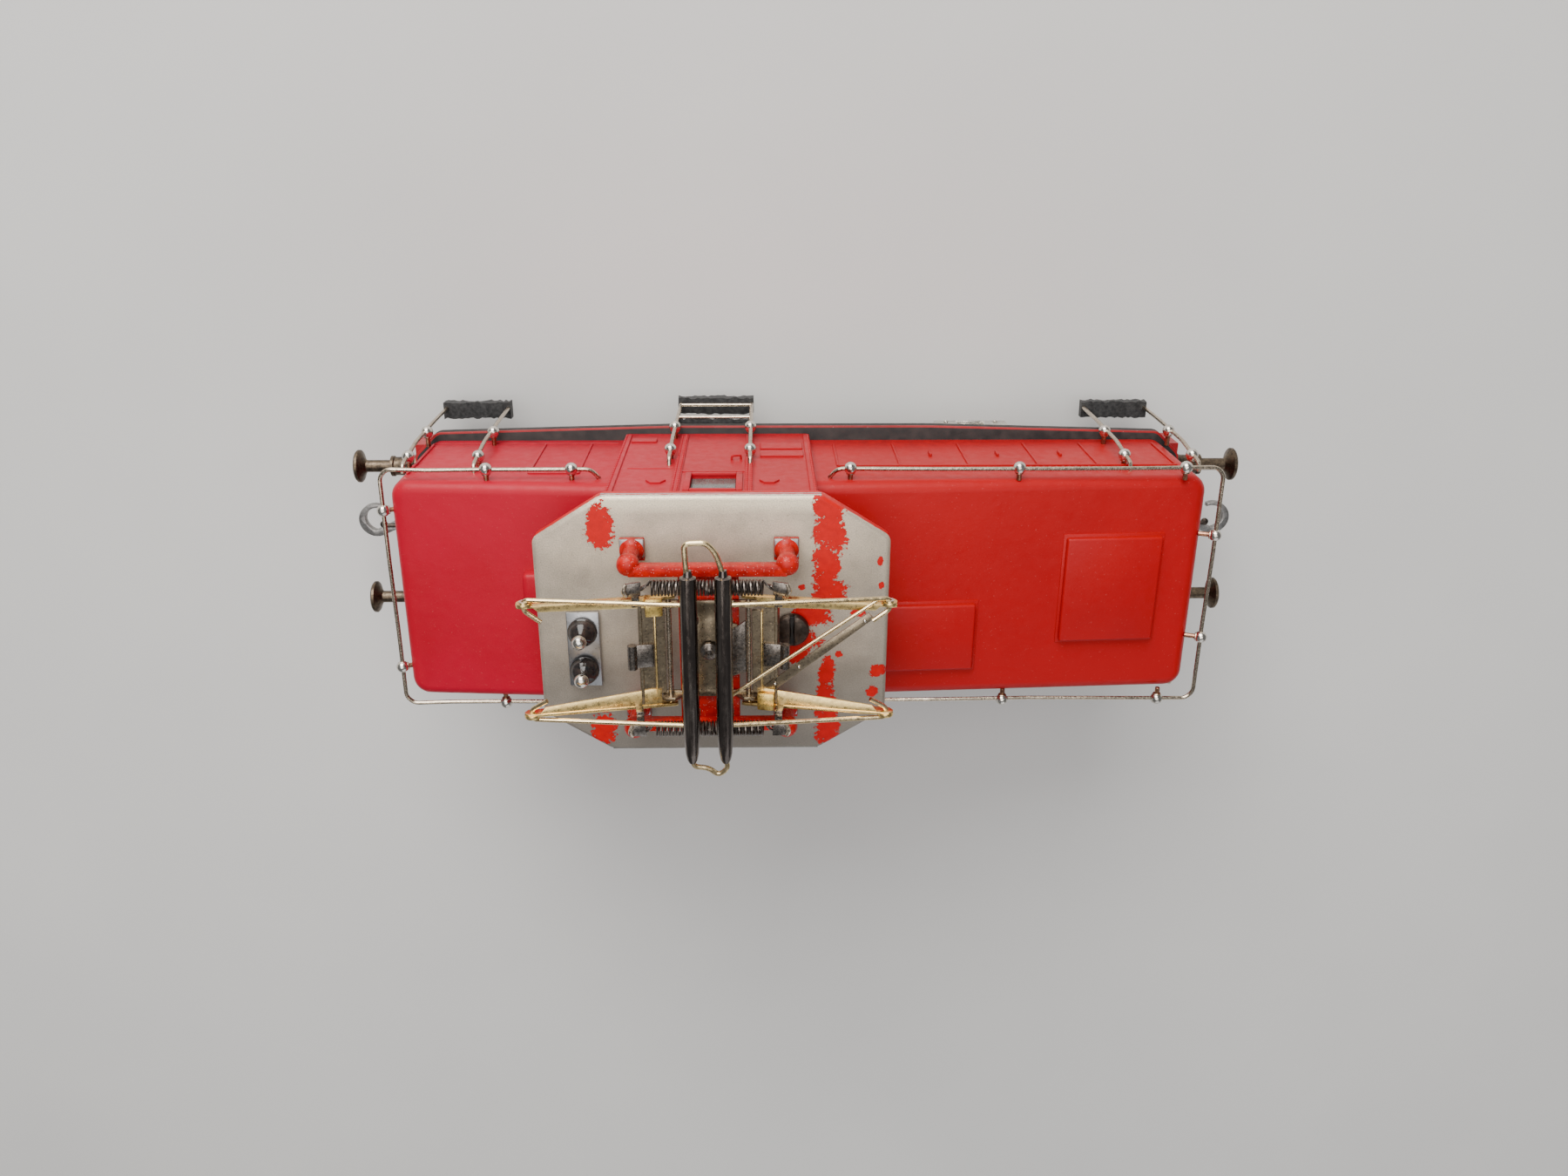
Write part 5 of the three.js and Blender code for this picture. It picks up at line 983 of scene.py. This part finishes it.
def build_lower_arm(side):
    """Stamped lower frame: two brass sides, the cross members, a curled tab and a bright clip.

    The front one also carries the slanting strip, with its rivets.
    """
    arm = Piece()
    matrix = arm_matrix(side)
    reach = ARM_LENGTH
    arm.add(pin((0, -6.25, 0), (0, 6.25, 0), 0.3, 14), NICKEL, matrix)
    for hand in (-1, 1):
        web = sorted((hand * (ARM_Y - 0.35), hand * ARM_Y))
        low, high = (-0.4, 0.42) if hand * side > 0 else (-0.72, 0.65)
        arm.add(plate([(-0.7, low + 0.1), (-0.3, low), (reach + 0.4, low), (reach + 0.8, -0.2),
                       (reach + 0.8, 0.2), (reach + 0.4, high), (-0.3, high), (-0.7, high - 0.15)], *web,
                      axis="Y", rounding=0.07), GOLD_SHEET, matrix)
        near, far = (5.4, 5.6) if hand * side > 0 else (4.3, 5.3)
        arm.add(plate([(1.0, hand * near), (2.0, hand * (near - 0.15)), (reach - 1.4, hand * far),
                       (reach - 0.6, hand * ARM_Y), (1.0, hand * ARM_Y)], 0.3, 0.55, rounding=0.06),
                GOLD_SHEET, matrix)
        arm.add(turned([(0.42, -0.2), (0.8, -0.2), (0.86, 0), (0.8, 0.2), (0.42, 0.2), (0.42, -0.2)],
                       (reach, hand * (ARM_Y + 0.02), 0), "Y", 22), GOLD_SHEET, matrix)
        lug = sorted((hand * (ARM_Y - 0.3), hand * (SPRING_Y + 0.5)))
        arm.add(block(3.1, 3.9, *lug, 1.7, 2.05, 0.08, 2), DARK_SHEET, matrix)
        arm.add(block(3.1, 3.9, *web, 0.3, 2.05, 0.06, 2), DARK_SHEET, matrix)
        ear = [(2.9, hand * (SPRING_Y + 0.75)), (4.5, hand * (SPRING_Y + 0.6)), (4.8, hand * SPRING_Y),
               (4.5, hand * (SPRING_Y - 0.7)), (3.0, hand * (SPRING_Y - 0.75))]
        arm.add(plate(ear, 1.95, 2.3, rounding=0.06), DARK_SHEET, matrix)
        rim = [(4.45, hand * (SPRING_Y + 0.55), 2.2), (4.75, hand * SPRING_Y, 2.45),
               (4.4, hand * (SPRING_Y - 0.7), 2.3)]
        arm.add(bent_wire(rim, 0.24, 0.4), NICKEL, matrix)
    arm.add(block(1.35, 3.2, -6.0, 6.0, 0.05, 0.38, 0.05, 1), TINPLATE, matrix)
    arm.add(block(2.86, 3.2, -5.9, 5.9, -0.85, 0.62, 0.05, 1), TINPLATE, matrix)
    arm.add(block(0.45, 1.6, -4.8, 4.8, 0.05, 0.36, 0.05, 1), TINPLATE, matrix)
    arm.add(block(1.42, 1.6, -4.8, 4.8, 0.1, 0.78, 0.05, 2), GOLD_SHEET, matrix)
    tab = (-1.5, 1.2) if side > 0 else (-1.2, 1.5)
    arm.add(block(1.7, 4.0, *tab, 0.34, 0.74, 0.14, 2), DARK_SHEET, matrix)
    arm.add(turned([(0, tab[0]), (0.5, tab[0]), (0.5, tab[1]), (0, tab[1])], (4.0, 0, 0.72), "Y", 16),
            DARK_SHEET, matrix)
    if side > 0:
        strip = [(1.7, -3.9), (2.9, -4.25), (reach - 1.5, 4.75), (reach - 2.1, 5.35)]
        arm.add(plate(strip, 0.42, 0.62, rounding=0.05), BRONZE_STRIP, matrix)
        for share in (0.06, 0.3, 0.94):
            x, y = 2.3 + (reach - 4.1) * share, -4.0 + 9.0 * share
            arm.add(ball((x, y, 0.66), 0.2, 10, 6), BRIGHT_NICKEL, matrix)
    clip_x, clip_y, clip_z = (2.0 if side > 0 else 1.6), -6.2, 0.5
    for y0, y1, z0, z1 in ((1.7, -0.25, 0.35, 0.75), (-0.02, -0.28, -0.7, 0.7)):
        arm.add(block(clip_x - 0.9, clip_x + 0.9, clip_y + y0, clip_y + y1, clip_z + z0, clip_z + z1, 0.1, 2),
                BRIGHT_BRASS, matrix)
    label = ARM_NAMES[side]
    arm.place(f"lower_arm_{label}_frame", f"lower_arm_{label}", "brass", f"lower_arm_{label}")


def build_upper_arm(side):
    """Upper frame of one bent wire, hooked at both knees."""
    arm = Piece()
    head = (PANTO_X + side * PAN_X, HEAD_Z)
    knee = (PANTO_X + side * KNEE_X, KNEE_Z)
    tail = (knee[0] - side * 1.7, knee[1] + 0.35)
    path = [(tail[0], 4.5, tail[1]), (knee[0] + side * 0.1, 5.7, knee[1]), (knee[0], WIRE_Y, knee[1]),
            (head[0], WIRE_Y, head[1]), (head[0], -WIRE_Y, head[1]), (knee[0], -WIRE_Y, knee[1]),
            (knee[0] + side * 0.1, -5.7, knee[1]), (tail[0], -4.5, tail[1])]
    arm.add(bent_wire(path, WIRE, 0.5), ARM_WIRE)
    for hand in (-1, 1):
        arm.add(turned([(0.26, -0.12), (0.5, -0.12), (0.5, 0.12), (0.26, 0.12), (0.26, -0.12)],
                       (knee[0], hand * 6.6, knee[1]), "Y", 18), BRIGHT_NICKEL)
    if side > 0:
        start = Vector((knee[0], WIRE_Y, knee[1])).lerp((head[0], WIRE_Y, head[1]), 0.06)
        arm.add(pin(start, (head[0] + 0.04, -3.8, head[1] - 0.03), 0.2, 10), ARM_WIRE)
    label = ARM_NAMES[side]
    arm.place(f"upper_arm_{label}_wire", f"upper_arm_{label}", "nickel_wire", f"upper_arm_{label}")


def pan_tube(x):
    """One pan: sheet rolled to a tube, flat beneath, narrowed at both ends."""
    bm = bmesh.new()
    stations = [(-10.5, 0.35), (-10.1, 0.55), (-9.3, 0.7), (-7.8, 0.8), (-6.0, 0.88), (9.9, 0.88),
                (10.4, 0.84), (10.55, 0.5), (11.2, 0.4)]
    upright = Matrix.Rotation(math.pi / 2, 4, "X")
    rings = []
    for y, radius in stations:
        made = bmesh.ops.create_circle(bm, segments=18, radius=radius,
                                       matrix=Matrix.Translation((x, y, PAN_Z)) @ upright)
        for vert in made["verts"]:
            vert.co.z = max(vert.co.z, PAN_Z - radius * 0.72)
        rings.append({e for v in made["verts"] for e in v.link_edges})
    for first, second in zip(rings, rings[1:]):
        bmesh.ops.bridge_loops(bm, edges=list(first | second))
    for ring in (rings[0], rings[-1]):
        bmesh.ops.contextual_create(bm, geom=list(ring))
    return closed(bm)


def build_collector_head():
    head = Piece()
    for side in (-1, 1):
        x = PANTO_X + side * PAN_X
        head.add(pan_tube(x), PAN_STEEL)
        for y in (-5.2, 5.2):
            ear = [(x - 0.5, 56.2), (x - 0.9, 55.6), (x - 0.9, 54.7), (x - 0.4, 54.15), (x + 0.4, 54.15),
                   (x + 0.9, 54.7), (x + 0.9, 55.6), (x + 0.5, 56.2)]
            head.add(plate(ear, y - 0.2, y + 0.2, axis="Y", rounding=0.05), DARK_SHEET)
    rear, front = PANTO_X - PAN_X, PANTO_X + PAN_X
    head.add(bent_wire([(rear, 9.2, PAN_Z), (rear - 0.15, 11.4, PAN_Z + 0.1), (rear - 0.3, 14.0, PAN_Z),
                        (PANTO_X + 0.1, 14.1, PAN_Z), (PANTO_X + 1.0, 13.1, PAN_Z),
                        (front - 0.1, 11.2, PAN_Z), (front, 9.2, PAN_Z)], 0.3, 0.6), ARM_WIRE)
    head.add(bent_wire([(rear, -9.6, PAN_Z), (rear + 0.1, -10.95, PAN_Z), (PANTO_X - 0.1, -11.2, PAN_Z - 0.1),
                        (PANTO_X + 1.0, -12.0, PAN_Z), (front + 0.2, -11.2, PAN_Z), (front, -9.6, PAN_Z)],
                       0.28, 0.5), ARM_WIRE)
    head.place("collector_pans", "collector_head", "burnished_steel", "collector_head")


def build_springs():
    """Each spring is two half coils, one towards each lower arm, meeting in the middle."""
    for side in (-1, 1):
        y = side * SPRING_Y
        for end in (-1, 1):
            half = Piece()
            tip = PANTO_X + end * (SPRING_REACH - 0.7)
            half.add(coil((PANTO_X, y, SPRING_Z), (tip, y, SPRING_Z), 0.74, 0.13, 17), SPRING_STEEL)
            loop = [(tip, y + 0.72, SPRING_Z), (tip + end * 0.4, y + 0.4, SPRING_Z + 0.55),
                    (tip + end * 0.8, y, SPRING_Z + 0.55), (tip + end * 1.1, y - 0.2, SPRING_Z - 0.1),
                    (tip + end * 0.8, y - 0.1, SPRING_Z - 0.6), (tip + end * 0.2, y + 0.2, SPRING_Z - 0.4)]
            half.add(bent_wire(loop, 0.13, 0.35, 1), SPRING_STEEL)
            nodes = [f"pantograph_spring_{SIDE_NAMES[side]}"] if end > 0 else []
            name = f"spring_{SIDE_NAMES[side]}_{ARM_NAMES[end]}"
            piece = half.place(name, None, "tinplate", *nodes)
            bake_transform(piece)


# ------------------------------------------------------------------ rails and steps
def knob(piece, point, wall):
    """Turned knob on a coppery shank that stands off a wall."""
    point, wall = Vector(point), Vector(wall)
    out = (point - wall).normalized()
    piece.add(pin(wall, point, 0.3, 10, 0.04), COPPER_SHANK)
    piece.add(pin(point - out * 0.72, point - out * 0.3, 0.52, 12, 0.08), NICKEL)
    piece.add(ball(point, KNOB, 16, 10), BRIGHT_NICKEL)


def build_handrail(hood, inner, side_knobs, end_knobs):
    rail = Piece()
    side = math.copysign(1, hood["end"])
    out = side * RAIL_X
    wall = HOOD_HALF_WIDTH + 0.05
    sway = iter([chance.uniform(-0.18, 0.18) for _ in range(12)])

    def half(hand):
        near, far = inner, out - side * 0.9
        steps = [near + (far - near) * share for share in (0.28, 0.55, 0.8)]
        return ([(inner - side * 0.9, hand * wall, RAIL_Z - 0.4), (inner, hand * (RAIL_Y - 0.05), RAIL_Z)]
                + [(x, hand * (RAIL_Y - 0.1), RAIL_Z + next(sway)) for x in steps]
                + [(far, hand * RAIL_Y, RAIL_Z), (out, hand * (RAIL_Y - 0.9), RAIL_Z)])

    path = half(1) + [(out, 4, RAIL_Z + 0.12), (out, -5, RAIL_Z - 0.1)] + list(reversed(half(-1)))
    rail.add(bent_wire(path, WIRE, 0.8), NICKEL)
    for x in side_knobs:
        for hand in (-1, 1):
            knob(rail, (x, hand * RAIL_Y, RAIL_Z), (x, hand * (HOOD_HALF_WIDTH - 0.2), RAIL_Z))
    for y in end_knobs:
        knob(rail, (out, y, RAIL_Z), (hood["end"] - side * 0.4, y, RAIL_Z - 0.7))
    name = f"handrail_{END_NAMES[int(side)]}"
    rail.place(f"{name}_wire", "root", "nickel_wire", name)


def footplate_edge(x):
    flat = FOOTPLATE_HALF_LENGTH / 3
    taper = max(0.0, (abs(x) - flat) / (FOOTPLATE_HALF_LENGTH - FOOTPLATE_CORNER - flat))
    return FOOTPLATE_HALF_WIDTH - taper * (FOOTPLATE_HALF_WIDTH - FOOTPLATE_END_HALF_WIDTH)


def ragged_board(x0, x1, y0, y1, z0, z1):
    """Tread cut from card-thin stuff, with torn edges."""
    bm = raw_block(x0, x1, y0, y1, z0, z1)
    long = [e for e in bm.edges if abs(e.verts[0].co.x - e.verts[1].co.x) > 1]
    bmesh.ops.subdivide_edges(bm, edges=long, cuts=22, use_grid_fill=True)
    middle = (y0 + y1) / 2
    for vert in bm.verts:
        out = math.copysign(1, vert.co.y - middle)
        vert.co.y += out * chance.uniform(-0.16, 0.1)
        vert.co.z += chance.uniform(-0.07, 0.07)
        vert.co.x += chance.uniform(-0.05, 0.05)
    return closed(bm)


def build_side_step(label, x0, x1, side, wall, upper_tread):
    step = Piece()
    edge = max(footplate_edge(x0), footplate_edge(x1))
    rod_y = edge + GAP + WIRE
    board_top = 5.6
    away = 0 if upper_tread else math.copysign(0.55, x0)
    for x in (x0, x1):
        lean = away + chance.uniform(-0.12, 0.12)
        step.add(bent_wire([(x, side * (wall - 0.1), 30.45), (x, side * (wall + 0.9), 30.1),
                            (x + lean * 0.3, side * (rod_y - 0.05), 23), (x + lean * 0.5, side * rod_y, 17),
                            (x + lean * 0.7, side * rod_y, 13.5),
                            (x + lean, side * (rod_y - 0.1), board_top - 0.4)], WIRE, 0.9), NICKEL)
        for height in (27.5, 18.2):
            share = (height - 17) / (30 - 17)
            y = rod_y + share * (wall + 1 - rod_y)
            knob(step, (x, side * y, height), (x, side * (wall - 0.2), height))
    outer, inner = rod_y + 0.72, rod_y - 1.5
    across = sorted((side * inner, side * outer))
    step.add(ragged_board(x0 + away - 0.35, x1 + away + 0.35, *across, board_top - 1.4, board_top),
             TREAD_BLACK)
    if upper_tread:
        for bar in (6.6, 13.5):
            ends = [(x0 - 0.1, side * rod_y, bar), (x1 + 0.1, side * rod_y, bar)]
            step.add(bent_wire(ends, 0.2, 0), NICKEL)
        across = sorted((side * (rod_y - 1.1), side * (rod_y - 0.2)))
        step.add(ragged_board(x0, x1, *across, 13.3, 13.7), TREAD_BLACK)
    name = f"step_{label}_{SIDE_NAMES[side]}"
    step.place(f"{name}_frame", "root", "nickel_wire", name)


def build_rails_and_steps():
    build_handrail(SHORT_HOOD, CAB_REAR - 2.4, (-26.8, -36.6), (-10, 10))
    build_handrail(LONG_HOOD, CAB_FRONT + 2.6, (5.3, 24.9, 44.3), (-6.6, 6.6))
    for side in (1, -1):
        build_side_step("short_hood", -47, -38.7, side, HOOD_HALF_WIDTH, False)
        build_side_step("cab", -15.8, -6.3, side, CAB_HALF_WIDTH, True)
        build_side_step("long_hood", 38.8, 47, side, HOOD_HALF_WIDTH, False)


# ------------------------------------------------------------------ buffers and couplers
def build_buffers():
    beam, face = FOOTPLATE_HALF_LENGTH, BUFFER_FACE
    shank = [(0, -2.4), (1.5, -2.4), (1.5, -1.7), (0.8, -1.7), (0.8, 0.28), (1.75, 0.28), (1.8, 0.45),
             (1.8, 0.75), (1.45, 0.95), (1.3, 1.4), (1.2, 3.6), (1.36, 3.75), (1.36, 4.1), (1.1, 4.2),
             (0.8, 4.25)]
    head = [(0.8, 1.6), (1.1, 1.3), (2.0, 0.95), (2.15, 0.8), (2.15, 0.5), (1.95, 0.3), (1.2, 0.08), (0, 0)]
    profile = [(radius, beam + out) for radius, out in shank]
    profile += [(radius, face - back) for radius, back in head]
    for side in (-1, 1):
        for hand in (-1, 1):
            buffer = Piece()
            buffer.add(turned(profile, (0, hand * BUFFER_Y, BUFFER_Z), END_AXES[side], 36), BUFFER_BRONZE)
            name = f"buffer_{END_NAMES[side]}_{SIDE_NAMES[hand]}"
            buffer.place(f"{name}_head", "root", "burnished_steel", name)


def build_couplers():
    reach, pivot = 60, 40
    middle = (reach - 2.3, 0.7)
    arc = [math.radians(a) for a in range(-112, 124, 12)]
    outer = [(middle[0] + 2.3 * math.cos(a), middle[1] + 2.3 * math.sin(a)) for a in arc]
    inner = [(middle[0] - 0.3 + 1.65 * math.cos(a), middle[1] + 0.15 + 1.65 * math.sin(a))
             for a in reversed(arc[3:])]
    outline = [(pivot - 1.8, -1.6), (pivot + 3, -1.2), (reach - 5, -0.6)] + outer + inner
    outline += [(reach - 4.4, 0.3), (reach - 5, 0.6), (pivot + 3, 1.2), (pivot - 1.8, 1.6)]
    for side in (-1, 1):
        hook = Piece()
        flip = Matrix.Diagonal((side, 1, 1, 1))
        hook.add(plate(outline, 8.5, 9.5, rounding=0.1, segments=2), HOOK_GREY, flip)
        hook.add(bent_wire([(52.5, 0, 9.7), (56.4, 0.1, 9.75)], 0.3, 0), SCREW_BROWN, flip)
        hook.add(turned([(0, 0), (0.5, 0), (0.5, 0.25), (0.3, 0.4), (0, 0.42)], (56.6, 0.2, 9.45), "Z", 16),
                 SCREW_BROWN, flip)
        name = f"coupler_{END_NAMES[side]}"
        hook.place(f"{name}_hook", name, "burnished_steel", name)


# ------------------------------------------------------------------ wheels and rods
def build_wheel(axle, hand):
    """Spoked driving wheel with its crank boss, balance weight and crank pin."""
    wheel = Piece()
    axis = SIDE_AXES[hand]
    centre = (AXLES[axle], 0, AXLE_Z)
    angle = math.radians(CRANK_ANGLES[hand])
    back, face = WHEEL_BACK, WHEEL_FACE
    flange, tread, bore = FLANGE_RADIUS, WHEEL_RADIUS, TYRE_BORE
    tyre = [(bore, back + 0.15), (flange - 0.6, back), (flange - 0.2, back + 0.12), (flange, back + 0.45),
            (flange - 0.2, back + 0.75), (tread + 0.2, back + 0.95), (tread, back + 1.3),
            (tread - 0.08, face - 0.15), (tread - 0.25, face), (bore + 0.35, face), (bore + 0.2, face - 0.3),
            (bore, face - 0.5), (bore, back + 0.15)]
    wheel.add(turned(tyre, centre, axis, 64), TYRE_STEEL)
    hub = [(1.5, back), (2.5, back), (2.5, face - 0.25), (2.25, face + 0.02), (1.75, face + 0.1),
           (1.5, face + 0.1), (1.5, back)]
    wheel.add(turned(hub, centre, axis, 36), SPOKE_RED)
    turn = Matrix.Translation(centre)
    for i in range(SPOKES):
        spoke = raw_block(2.2, 5.95, -0.5, 0.5, 0, 1)
        for vert in spoke.verts:
            near = vert.co.x < 3
            vert.co.y *= 1.25 if near else 0.85
            level = vert.co.z > 0.5
            vert.co.z = vert.co.y
            vert.co.y = (face - 0.45 if near else face - 0.7) if level else back + 0.7
        soften(spoke, spoke.edges, 0.16, 2)
        spoke = closed(spoke)
        place = turn @ Matrix.Rotation(-(angle + math.tau * i / SPOKES), 4, "Y")
        if hand < 0:
            place = MIRROR_Y @ place
        wheel.add(spoke, SPOKE_RED, place)
    crank = Vector((math.cos(angle), 0, math.sin(angle))) * CRANK_RADIUS + Vector(centre)
    boss = [(0.9, face - 1.6), (1.55, face - 1.6), (1.55, face - 0.15), (1.4, face), (0.9, face),
            (0.9, face - 1.6)]
    wheel.add(turned(boss, crank, axis, 28), SPOKE_RED)
    weight_arc = [math.pi + angle + math.radians(a) for a in range(-34, 35, 4)]
    outer = [(5.9 * math.cos(a), 5.9 * math.sin(a)) for a in weight_arc]
    chord = [(4.5 * math.cos(a), 4.5 * math.sin(a)) for a in (weight_arc[-1], weight_arc[0])]
    weight = [(x + centre[0], z + centre[2]) for x, z in outer + chord]
    span = sorted((hand * (face - 1.2), hand * (face - 0.25)))
    wheel.add(plate(weight, *span, axis="Y", rounding=0.12), SPOKE_RED)
    stem = [(0, face - 1), (0.8, face - 1), (0.8, ROD_OUTER + 0.25), (1.32, ROD_OUTER + 0.25),
            (1.4, ROD_OUTER + 0.35), (1.4, ROD_OUTER + 0.72), (1.2, ROD_OUTER + 0.9), (0, ROD_OUTER + 0.94)]
    wheel.add(turned(stem, crank, axis, 26), BRIGHT_NICKEL)
    for share in (-1, 1):
        flat = Vector((crank.x + share * 0.55, 0, crank.z))
        wheel.add(turned([(0, 0), (0.16, 0), (0.12, 0.1), (0, 0.12)],
                         (flat.x, hand * (ROD_OUTER + 0.9), flat.z), axis, 10), SCREW_BROWN)
    name = f"wheel_{axle}_{SIDE_NAMES[hand]}"
    wheel.place(f"{name}_spoked", f"wheelset_{axle}", "steel", name)


def build_coupling_rod(hand):
    """Flat coupling rod with round ends and the thick boss over the front pin."""
    rod = Piece()
    angle = math.radians(CRANK_ANGLES[hand])
    pin_x, z = math.cos(angle) * CRANK_RADIUS, AXLE_Z + math.sin(angle) * CRANK_RADIUS
    pins = [x + pin_x for x in AXLES.values()]
    faces = sorted((hand * ROD_INNER, hand * ROD_OUTER))
    axis = SIDE_AXES[hand]
    for first, second in zip(pins, pins[1:]):
        rod.add(block(first + 1.4, second - 1.4, *faces, z - 1.3, z + 1.3, 0.2, 3), ROD_NICKEL)
        rod.add(block(first + 3.2, second - (6.2 if second == pins[2] else 3.2), hand * (ROD_OUTER - 0.1),
                      hand * (ROD_OUTER + 0.14), z - 0.75, z + 0.75, 0.12, 2), ROD_NICKEL)
    for x in pins:
        outer = ROD_OUTER + 0.12 if x != pins[2] else ROD_OUTER
        ring = [(1.1, ROD_INNER), (1.9, ROD_INNER), (2.0, ROD_INNER + 0.12), (2.0, outer - 0.12),
                (1.88, outer), (1.1, outer), (1.1, ROD_INNER)]
        rod.add(turned(ring, (x, 0, z), axis, 36), ROD_NICKEL)
    front = pins[2]
    boss = (hand * ROD_INNER, hand * (ROD_OUTER + 1.3))
    for x0, x1 in ((front - 5, front - 1.8), (front + 1.8, front + 5)):
        rod.add(block(x0, x1, *boss, z - 2.1, z + 2.1, 0.25, 3), ROD_NICKEL)
        for bolt in (-1.2, 1.2):
            rod.add(turned([(0.32, 0), (0.32, 0.14), (0.22, 0.24), (0, 0.26)],
                           ((x0 + x1) / 2, hand * (ROD_OUTER + 1.28), z + bolt), axis, 10), BRIGHT_NICKEL)
    for z0, z1 in ((z - 2.1, z - 1.75), (z + 1.75, z + 2.1)):
        rod.add(block(front - 2, front + 2, *boss, z0, z1, 0.1, 2), ROD_NICKEL)
    name = f"coupling_rod_{SIDE_NAMES[hand]}"
    rod.place(f"{name}_bar", f"rod_{SIDE_NAMES[hand]}", "nickel_rods", name)


# ------------------------------------------------------------------ what the frame shows itself
CARRIED = {
    "chassis_frame": CASTING_BLACK, "axle_rear": TYRE_STEEL, "axle_middle": TYRE_STEEL,
    "axle_front": TYRE_STEEL, "axle_gear": GEAR_BRASS, "idler_gear": GEAR_BRASS,
    "armature": COPPER, "field_magnet": MAGNET_STEEL,
    "brush_plate": FIBRE_BROWN, "brush_rear": COPPER, "brush_front": COPPER, "pickup_skate": ROD_NICKEL,
    "skate_plate": FIBRE_BROWN, "bulb_short_hood": LAMP_GLASS, "bulb_long_hood": LAMP_GLASS,
    "coupler_pin_short_hood": TYRE_STEEL, "coupler_pin_long_hood": TYRE_STEEL}


def finish_carried_nodes():
    for name, finish in CARRIED.items():
        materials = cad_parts[name].data.materials
        materials.clear()
        materials.append(finish)


# ------------------------------------------------------------------ studio
def build_studio():
    floor_finish = Finish("studio_floor")
    floor_finish.colour(floor_finish.mix(floor_finish.ramp(floor_finish.noise(0.02, 3), 0.3, 0.7),
                                         (0.74, 0.735, 0.72), (0.7, 0.695, 0.685)))
    floor_finish.roughness(floor_finish.ramp(floor_finish.noise(0.4, 3), 0.3, 0.7, 0.5, 0.62))
    bm = bmesh.new()
    bmesh.ops.create_grid(bm, x_segments=2, y_segments=2, size=2.5)
    mesh = bpy.data.meshes.new("studio_floor")
    bm.to_mesh(mesh)
    bm.free()
    mesh.materials.append(floor_finish.material)
    floor = bpy.data.objects.new("studio_floor", mesh)
    bpy.context.scene.collection.objects.link(floor)

    world = bpy.data.worlds.new("studio")
    world.use_nodes = True
    world.node_tree.nodes["Background"].inputs["Color"].default_value = (0.9, 0.92, 0.95, 1)
    world.node_tree.nodes["Background"].inputs["Strength"].default_value = 0.2
    bpy.context.scene.world = world
    lights = (("window_light", (-0.12, 0.5, 0.3), 0.42, 5.0, (1, 0.97, 0.93)),
              ("top_light", (-0.04, 0.1, 0.5), 0.4, 1.5, (1, 0.97, 0.94)),
              ("front_fill", (0.15, -0.5, 0.28), 0.5, 0.7, (0.93, 0.96, 1)))
    for name, place, size, watts, colour in lights:
        data = bpy.data.lights.new(name, "AREA")
        data.size = size
        data.energy = watts
        data.color = colour
        lamp = bpy.data.objects.new(name, data)
        lamp.location = place
        lamp.rotation_euler = (Vector((0, 0, 0.03)) - Vector(place)).to_track_quat("-Z", "Y").to_euler()
        bpy.context.scene.collection.objects.link(lamp)


CAMERA_PLACE = (-0.0054, 0.0544, 0.169)
CAMERA_PITCH, CAMERA_YAW, CAMERA_ROLL = 21.83, -1.30, 0.22


def build_camera():
    data = bpy.data.cameras.new("camera")
    data.sensor_width = 36
    data.lens = 28
    data.clip_start = 0.005
    camera = bpy.data.objects.new("camera", data)
    flip = Matrix.Diagonal((1, -1, -1))
    turn = (Matrix.Rotation(math.radians(CAMERA_ROLL), 3, "Z")
            @ Matrix.Rotation(math.radians(CAMERA_PITCH), 3, "X")
            @ Matrix.Rotation(math.radians(CAMERA_YAW), 3, "Y") @ flip)
    camera.matrix_world = Matrix.Translation(CAMERA_PLACE) @ (turn.transposed() @ flip).to_4x4()
    bpy.context.scene.collection.objects.link(camera)
    bpy.context.scene.camera = camera


build_body()
build_roof()
build_footplate()
build_windows_and_lenses()
build_roof_fittings()
build_pantograph_base()
for arm_side in (-1, 1):
    build_lower_arm(arm_side)
    build_upper_arm(arm_side)
build_collector_head()
build_springs()
build_rails_and_steps()
build_buffers()
build_couplers()
for wheel_hand in (1, -1):
    for axle_name in AXLES:
        build_wheel(axle_name, wheel_hand)
    build_coupling_rod(wheel_hand)
finish_carried_nodes()
build_studio()
build_camera()
